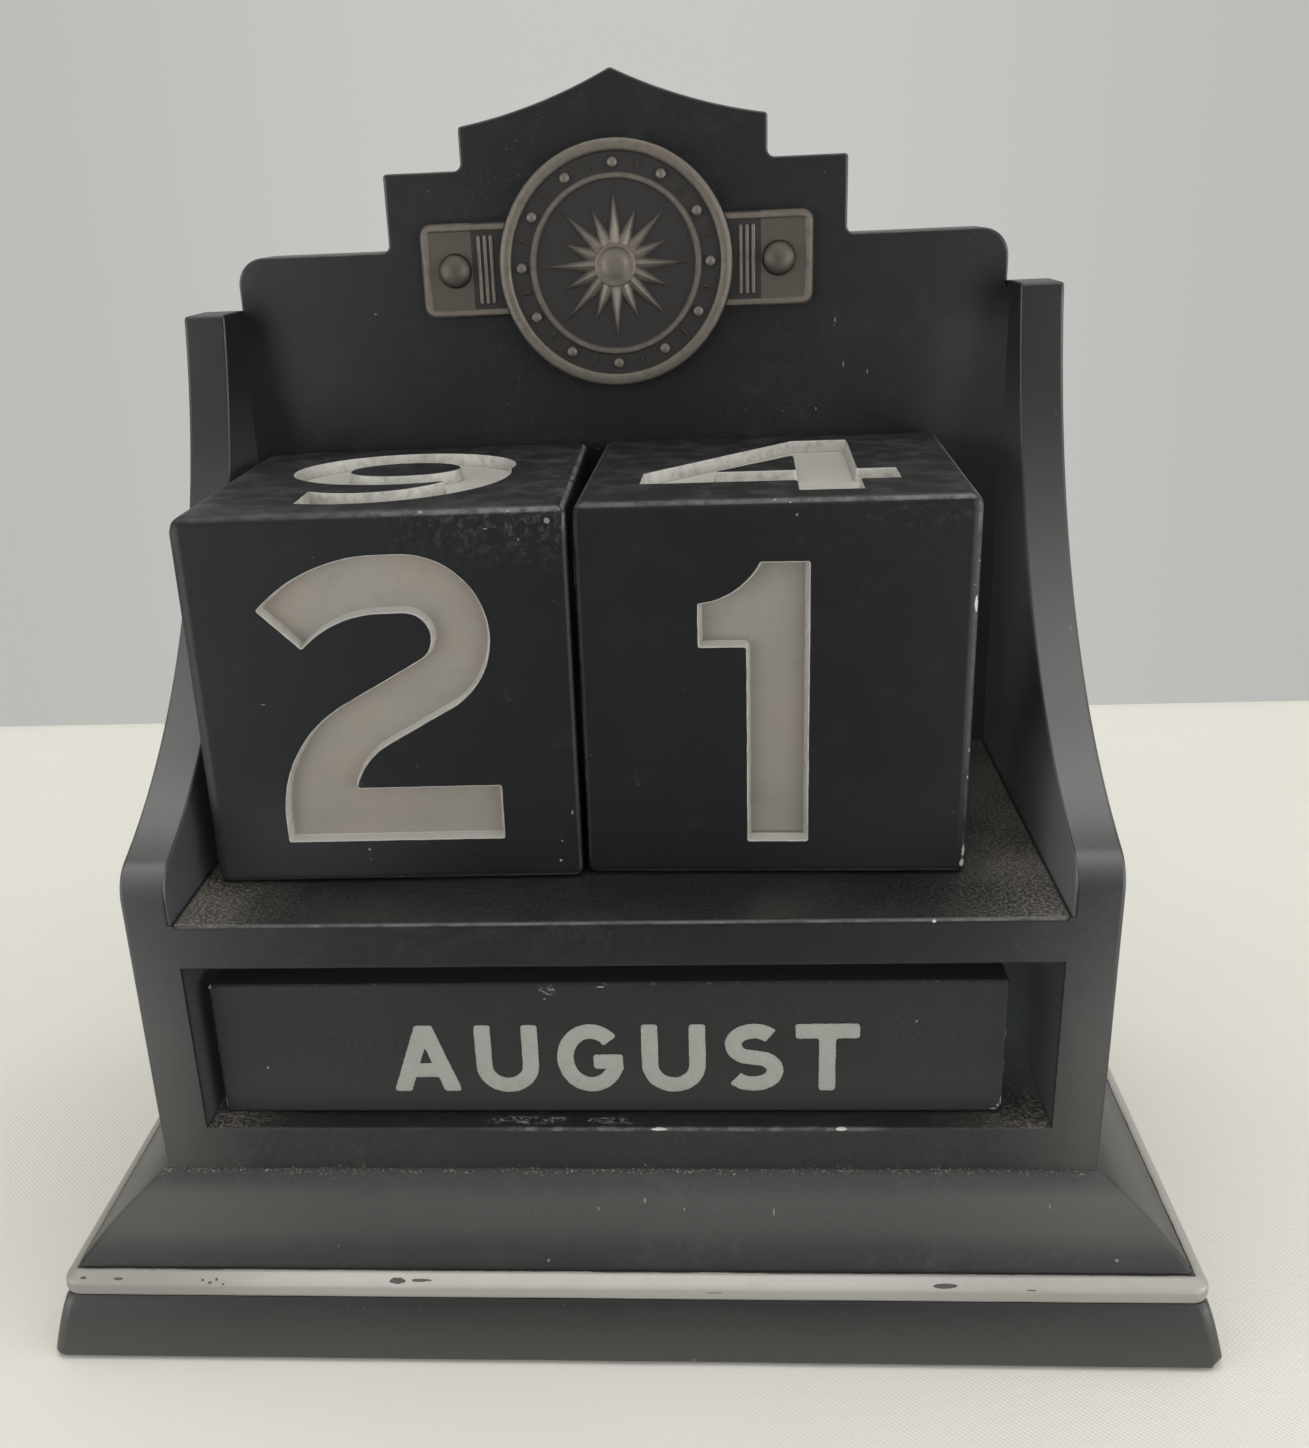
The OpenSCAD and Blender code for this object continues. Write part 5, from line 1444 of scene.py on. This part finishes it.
def number_cube(name, digits, centre, angle, body, mat, mat_num, soft):
    bm_ = box_bm(-CUBE / 2, CUBE / 2, -CUBE / 2, CUBE / 2, -CUBE / 2, CUBE / 2)

    def weigh(e):
        a, b = e.verts[0].co, e.verts[1].co
        mid = (a + b) / 2
        key = tuple(round(c / 22.5) for c in mid)
        return soft.get(key, 0.55)

    bm_ = bevelled(bm_, weigh, 2.0, 6)
    lining = bmesh.new()
    for f, (d, (U, V)) in enumerate(zip(digits, FACES)):
        loops = numeral_loops(d, 10.0 * f + centre[0])
        N = U.cross(V)
        origin = N * (CUBE / 2)
        carve(bm_, origin, U, V, loops, [(0.09, 0.0), (0.03, 0.03), (0.0, 0.09), (-0.30, 1.92)])
        sink_ = Sink(lining)

        def place_(p, depth):
            return origin + U * p[0] + V * p[1] - N * depth
        seen = [(-0.030, 0.06), (-0.075, 0.05), (-0.12, 0.10), (-0.36, 1.44), (-0.44, 1.56), (-0.56, 1.60)]
        back = [(-0.012, 0.09), (-0.29, 1.90)]
        chain = seen[::-1] + back
        rr = [[grow(lp, g_) for lp in loops] for g_, _ in chain]
        for k in range(len(chain) - 1):
            for a, b in zip(rr[k], rr[k + 1]):
                for i in range(len(a)):
                    j = (i + 1) % len(a)
                    sink_.face([place_(a[i], chain[k][1]), place_(a[j], chain[k][1]), place_(b[j], chain[k + 1][1]), place_(b[i], chain[k + 1][1])])
        for ring_, depth in ((rr[0], chain[0][1]), (rr[-1], chain[-1][1])):
            pts_, tris_ = fill(ring_)
            for t in tris_:
                sink_.face([place_(pts_[i], depth) for i in t])
    layer = lining.verts.layers.float.new("edge")
    for v in lining.verts:
        depth = CUBE / 2 - max(abs(c) for c in v.co)
        v[layer] = 1.0 if depth < 0.12 else (0.75 if depth < 1.5 else 0.0)
    place = Matrix.Translation(Vector(centre) * MM) @ Matrix.Rotation(math.radians(angle), 4, "Z")
    a = piece(name, bm_, mat, body, [name], place=place)
    b = piece(name + "_numerals", lining, mat_num, body, [name + "_numerals"], place=place, sharp=30.0)
    return a, b


number_cube("left_cube", [2, 9, 7, 8, 0, 1], (-26.95, 0.95, 75.05), 0.8, "left_date_cube", MAT_LEFT, MAT_NUM_L,
            {(-1, -1, 0): 0.80, (-1, 0, 1): 1.0, (0, -1, 1): 0.62, (1, -1, 0): 0.30})
number_cube("right_cube", [1, 4, 0, 5, 3, 2], (19.55, 1.65, 75.05), -1.4, "right_date_cube", MAT_RIGHT, MAT_NUM_R,
            {(1, -1, 0): 0.62, (1, 0, 1): 0.80, (-1, 0, 1): 0.70, (-1, -1, 0): 0.34})

# ------------------------------------------------------------------ month bars
BAR_FACES = [(X_, Z_), (X_, Y_), (X_, -Z_), (X_, -Y_)]   # front, top, back, underside


def month_bar(name, words, y, body, mat):
    h = BAR_T / 2
    bm_ = box_bm(-BAR_L / 2, BAR_L / 2, -h, h, -h, h)

    def weigh(e):
        mid = (e.verts[0].co + e.verts[1].co) / 2
        if mid.x > 1 and mid.z < -1 and abs(mid.y) < 1:
            return 1.0
        return 0.24
    bm_ = bevelled(bm_, weigh, 1.9, 5)
    letters = bmesh.new()
    for f, (word, (U, V)) in enumerate(zip(words, BAR_FACES)):
        loops = word_loops(word, 5.0 * f + y, 1.3 if f % 2 == 0 else -1.3)
        N = U.cross(V)
        carve(bm_, N * h, U, V, loops, [(0.02, 0.0), (0.0, 0.03), (0.0, 0.25)])
        sink_ = Sink(letters)
        chain = [(-0.03, 0.24), (-0.01, 0.05), (-0.015, 0.0), (-0.06, -0.02)]
        rr = [[grow(lp, g_) for lp in loops] for g_, _ in chain]

        def place_(p, depth):
            return N * (h - depth) + U * p[0] + V * p[1]
        for k in range(len(chain) - 1):
            for a, b in zip(rr[k], rr[k + 1]):
                for i in range(len(a)):
                    j = (i + 1) % len(a)
                    sink_.face([place_(a[i], chain[k][1]), place_(a[j], chain[k][1]), place_(b[j], chain[k + 1][1]), place_(b[i], chain[k + 1][1])])
        for ring_, depth in ((rr[0], chain[0][1]), (rr[-1], chain[-1][1])):
            pts_, tris_ = fill(ring_)
            for t in tris_:
                sink_.face([place_(pts_[i], depth) for i in t])
    place = Matrix.Translation(Vector((-1.85, y, 33.8)) * MM)
    piece(name, bm_, mat, body, [name], place=place)
    piece(name + "_letters", letters, MAT_PRINT, body, [name + "_letters"], place=place)


month_bar("front_bar", ["AUGUST", "MAY", "JUNE", "JULY"], -21.0, "front_month_bar", MAT_BARS[0])
month_bar("middle_bar", ["SEPTEMBER", "OCTOBER", "NOVEMBER", "DECEMBER"], -2.85, "middle_month_bar", MAT_BARS[1])
month_bar("rear_bar", ["JANUARY", "FEBRUARY", "MARCH", "APRIL"], 15.3, "rear_month_bar", MAT_BARS[2])


# ------------------------------------------------------------------ stage
# strengths of the sky's parts, of the sheet in front and of the wall
SKY, SHEET, WALL, FILL = (0.12, 4.95, 0.2, 0.25, 0.9, 0.1), 3.9, 1.0, 0.60


def table():
    """A pale cloth-covered table that ends behind the object."""
    b = bmesh.new()
    xs = [-1.6, -1.1, -0.75] + [-0.5 + 0.02 * i for i in range(51)] + [0.75, 1.1, 1.6]
    ys = [-1.6, -1.1, -0.75] + [-0.45 + 0.02 * i for i in range(32)] + [0.186, 0.193, 0.197, 0.1995, 0.201, 0.2015, 0.2015]
    zs = [0.0] * (len(ys) - 6) + [0.0, -0.0003, -0.0010, -0.0022, -0.005, -0.6]
    grid = []
    for y_, dz in zip(ys, zs):
        row = []
        for x_ in xs:
            # soft folds in the cloth, none under the object
            far = min(1.0, max(0.0, (math.hypot(x_ / 1.3, y_) - 0.085) / 0.12))
            k = noise.noise(Vector((x_ * 5.5, y_ * 7.0, 3.0))) * 0.0016 + noise.noise(Vector((x_ * 14.0, y_ * 9.0, 8.0))) * 0.0005
            back = min(1.0, max(0.0, (y_ - 0.10) / 0.07))
            row.append(b.verts.new((x_, y_, dz + (k - 0.0010) * far * (1 - back))))
        grid.append(row)
    for r0, r1 in zip(grid, grid[1:]):
        for i in range(len(xs) - 1):
            b.faces.new((r0[i], r0[i + 1], r1[i + 1], r1[i]))
    for f in b.faces:
        f.smooth = True
    me = bpy.data.meshes.new("table_cloth")
    b.to_mesh(me)
    b.free()
    ob = bpy.data.objects.new("table_cloth", me)
    scene.collection.objects.link(ob)
    g = Nodes("cloth_pale")
    x, y, z = g.xyz()
    weave = g.mul(g.math("SINE", g.mul(x, 9.0)), g.math("SINE", g.mul(y, 9.0)))
    soft = g.noise(60.0, 3, 0.5)
    base = g.mix(soft, (0.675, 0.651, 0.594), (0.733, 0.709, 0.656))
    h = g.add(g.mul(weave, 0.25), g.mul(g.noise(1.2, 3, 0.6), 0.8))
    me.materials.append(g.finish(base, 0.92, g.bump(h, 0.10, 0.35), specular=0.12))
    return ob


def backdrop():
    me = bpy.data.meshes.new("backdrop_wall")
    b = bmesh.new()
    vs = [b.verts.new(p) for p in ((-4, 1.9, -2.5), (4, 1.9, -2.5), (4, 1.9, 3.5), (-4, 1.9, 3.5))]
    b.faces.new(vs)
    b.to_mesh(me)
    b.free()
    ob = bpy.data.objects.new("backdrop_wall", me)
    scene.collection.objects.link(ob)
    mat = bpy.data.materials.new("wall_grey_blue")
    mat.use_nodes = True
    t = mat.node_tree
    t.nodes.clear()
    out = t.nodes.new("ShaderNodeOutputMaterial")
    em = t.nodes.new("ShaderNodeEmission")
    co = t.nodes.new("ShaderNodeTexCoord")
    sp = t.nodes.new("ShaderNodeSeparateXYZ")
    t.links.new(co.outputs["Object"], sp.inputs[0])
    off = t.nodes.new("ShaderNodeMath")
    off.operation = "ADD"
    t.links.new(sp.outputs[0], off.inputs[0])
    off.inputs[1].default_value = 0.08
    ab = t.nodes.new("ShaderNodeMath")
    ab.operation = "ABSOLUTE"
    t.links.new(off.outputs[0], ab.inputs[0])
    mr = t.nodes.new("ShaderNodeMapRange")
    mr.interpolation_type = "SMOOTHSTEP"
    t.links.new(ab.outputs[0], mr.inputs["Value"])
    for s_, v_ in zip(("From Min", "From Max", "To Min", "To Max"), (0.1, 0.95, 1.0, 0.0)):
        mr.inputs[s_].default_value = v_
    mx = t.nodes.new("ShaderNodeMix")
    mx.data_type = "RGBA"
    mx.inputs[6].default_value = (0.500, 0.505, 0.475, 1)
    mx.inputs[7].default_value = (0.572, 0.575, 0.545, 1)
    t.links.new(mr.outputs[0], mx.inputs[0])
    t.links.new(mx.outputs[2], em.inputs["Color"])
    em.inputs["Strength"].default_value = WALL
    t.links.new(em.outputs[0], out.inputs[0])
    me.materials.append(mat)
    return ob


table()
backdrop()


# ------------------------------------------------------------------ light
def area(name, loc, target, size, power, color, spread=180, fill=False):
    d = bpy.data.lights.new(name, "AREA")
    d.shape = "RECTANGLE"
    d.size, d.size_y = size
    d.energy = power
    d.color = color
    d.spread = math.radians(spread)
    ob = bpy.data.objects.new(name, d)
    scene.collection.objects.link(ob)
    ob.location = loc
    ob.rotation_euler = (Vector(target) - Vector(loc)).to_track_quat("-Z", "Y").to_euler()
    ob.visible_camera = False
    if fill:
        d.use_shadow = False
        ob.visible_glossy = False
    return ob


area("ceiling", (0.05, 0.15, 1.3), (0, 0, 0.05), (1.5, 1.1), 5.4, (1.0, 0.985, 0.955))
area("right_window", (1.1, -0.1, 0.35), (0, 0, 0.08), (0.8, 0.7), 2.4, (0.97, 0.985, 1.0))

area("fill_left", (-0.42, -0.62, 0.22), (0, 0, 0.06), (0.3, 0.3), FILL, (0.94, 0.98, 1.0), fill=True)
area("fill_right", (0.42, -0.62, 0.22), (0, 0, 0.06), (0.3, 0.3), FILL, (0.94, 0.98, 1.0), fill=True)


def reflector():
    """A sheet in front of the object that only reflections meet: dark in the middle, pale at its sides."""
    rows = [(-0.050, 0.0022), (-0.08, 0.0022), (-0.11, 0.0022), (-0.14, 0.0022), (-0.18, 0.0022), (-0.24, 0.0022), (-0.30, 0.0022)]
    rows += [(-0.30 - 0.15 * math.sin(math.radians(a)), 0.0022 + 0.5 * (1 - math.cos(math.radians(a)))) for a in range(10, 91, 10)]
    cols = [-0.6, -0.45, -0.35, -0.28, -0.22, -0.17, -0.13, -0.09, -0.05, 0.0, 0.05, 0.09, 0.13, 0.17, 0.22, 0.28, 0.35, 0.45, 0.6]
    b = bmesh.new()
    grid = [[b.verts.new((x_, y_, z_)) for x_ in cols] for y_, z_ in rows]
    for r0, r1 in zip(grid, grid[1:]):
        for i in range(len(cols) - 1):
            b.faces.new((r0[i], r0[i + 1], r1[i + 1], r1[i]))
    me = bpy.data.meshes.new("reflector_sheet")
    b.to_mesh(me)
    b.free()
    ob = bpy.data.objects.new("reflector_sheet", me)
    scene.collection.objects.link(ob)
    g = Nodes("reflector_gradient")
    x, y, z = g.xyz()
    out_of_middle = g.math("DIVIDE", g.math("ABSOLUTE", g.sub(x, -4.0)), g.sub(50.0, y))
    em = g.t.nodes.new("ShaderNodeEmission")
    g.put(em.inputs["Strength"], g.mul(g.step(out_of_middle, 0.35, 0.75, 0.0, SHEET), g.step(y, -300.0, -420.0, 1.0, 0.6)))
    em.inputs["Color"].default_value = (0.97, 0.985, 1.0, 1.0)
    clear = g.t.nodes.new("ShaderNodeBsdfTransparent")
    mx = g.t.nodes.new("ShaderNodeMixShader")
    g.put(mx.inputs[0], g.mul(g.step(y, -60.0, -140.0), g.step(z, 500.0, 300.0)))
    g.t.links.new(clear.outputs[0], mx.inputs[1])
    g.t.links.new(em.outputs[0], mx.inputs[2])
    g.t.nodes.remove(g.bsdf)
    g.t.links.new(mx.outputs[0], g.out.inputs[0])
    me.materials.append(g.mat)
    for k in ("camera", "diffuse", "transmission", "volume_scatter", "shadow"):
        setattr(ob, "visible_" + k, False)
    return ob


reflector()

world = bpy.data.worlds.new("room")
scene.world = world
world.use_nodes = True
t = world.node_tree
t.nodes.clear()
wout = t.nodes.new("ShaderNodeOutputWorld")
bg = t.nodes.new("ShaderNodeBackground")
co = t.nodes.new("ShaderNodeTexCoord")
sep = t.nodes.new("ShaderNodeSeparateXYZ")
t.links.new(co.outputs["Generated"], sep.inputs[0])


def wstep(x, a, b):
    n = t.nodes.new("ShaderNodeMapRange")
    n.interpolation_type = "SMOOTHSTEP"
    t.links.new(x, n.inputs["Value"])
    lo, hi, v0, v1 = (a, b, 0.0, 1.0) if a < b else (b, a, 1.0, 0.0)
    for s_, v_ in zip(("From Min", "From Max", "To Min", "To Max"), (lo, hi, v0, v1)):
        n.inputs[s_].default_value = v_
    return n.outputs[0]


def wmath(op, a, b):
    n = t.nodes.new("ShaderNodeMath")
    n.operation = op
    for s_, v_ in zip(n.inputs, (a, b)):
        if isinstance(v_, bpy.types.NodeSocket):
            t.links.new(v_, s_)
        else:
            s_.default_value = v_
    return n.outputs[0]


dx, dy, dz = sep.outputs
aside = wmath("DIVIDE", wmath("ABSOLUTE", dx, 0.0), wmath("SQRT", wmath("ADD", wmath("MULTIPLY", dx, dx), wmath("ADD", wmath("MULTIPLY", dy, dy), 1e-4)), 0.0))
front = wstep(dy, 0.15, -0.25)
sides = wmath("MULTIPLY", wstep(aside, 0.15, 0.70), front)
low, mid = wstep(dz, 0.34, 0.16), wmath("MULTIPLY", wstep(dz, 0.10, 0.24), wstep(dz, 0.62, 0.46))
high = wstep(dz, 0.50, 0.75)
parts = [(SKY[0], wstep(dz, -1.0, -0.99)), (SKY[1], wmath("MULTIPLY", sides, low)), (SKY[2], wmath("MULTIPLY", sides, mid)),
         (SKY[3], wmath("MULTIPLY", front, mid)), (SKY[4], high), (SKY[5], wmath("MULTIPLY", wmath("SUBTRACT", 1.0, front), mid))]
total = 0.0
for k_, v_ in parts:
    total = wmath("ADD", wmath("MULTIPLY", v_, k_), total)
bg.inputs["Color"].default_value = (0.985, 0.99, 0.985, 1)
t.links.new(total, bg.inputs["Strength"])
world.cycles.sampling_method = "NONE"
t.links.new(bg.outputs[0], wout.inputs[0])

scene.view_settings.view_transform = "Standard"
scene.view_settings.look = "None"
scene.view_settings.exposure = 0.0
scene.view_settings.gamma = 1.0
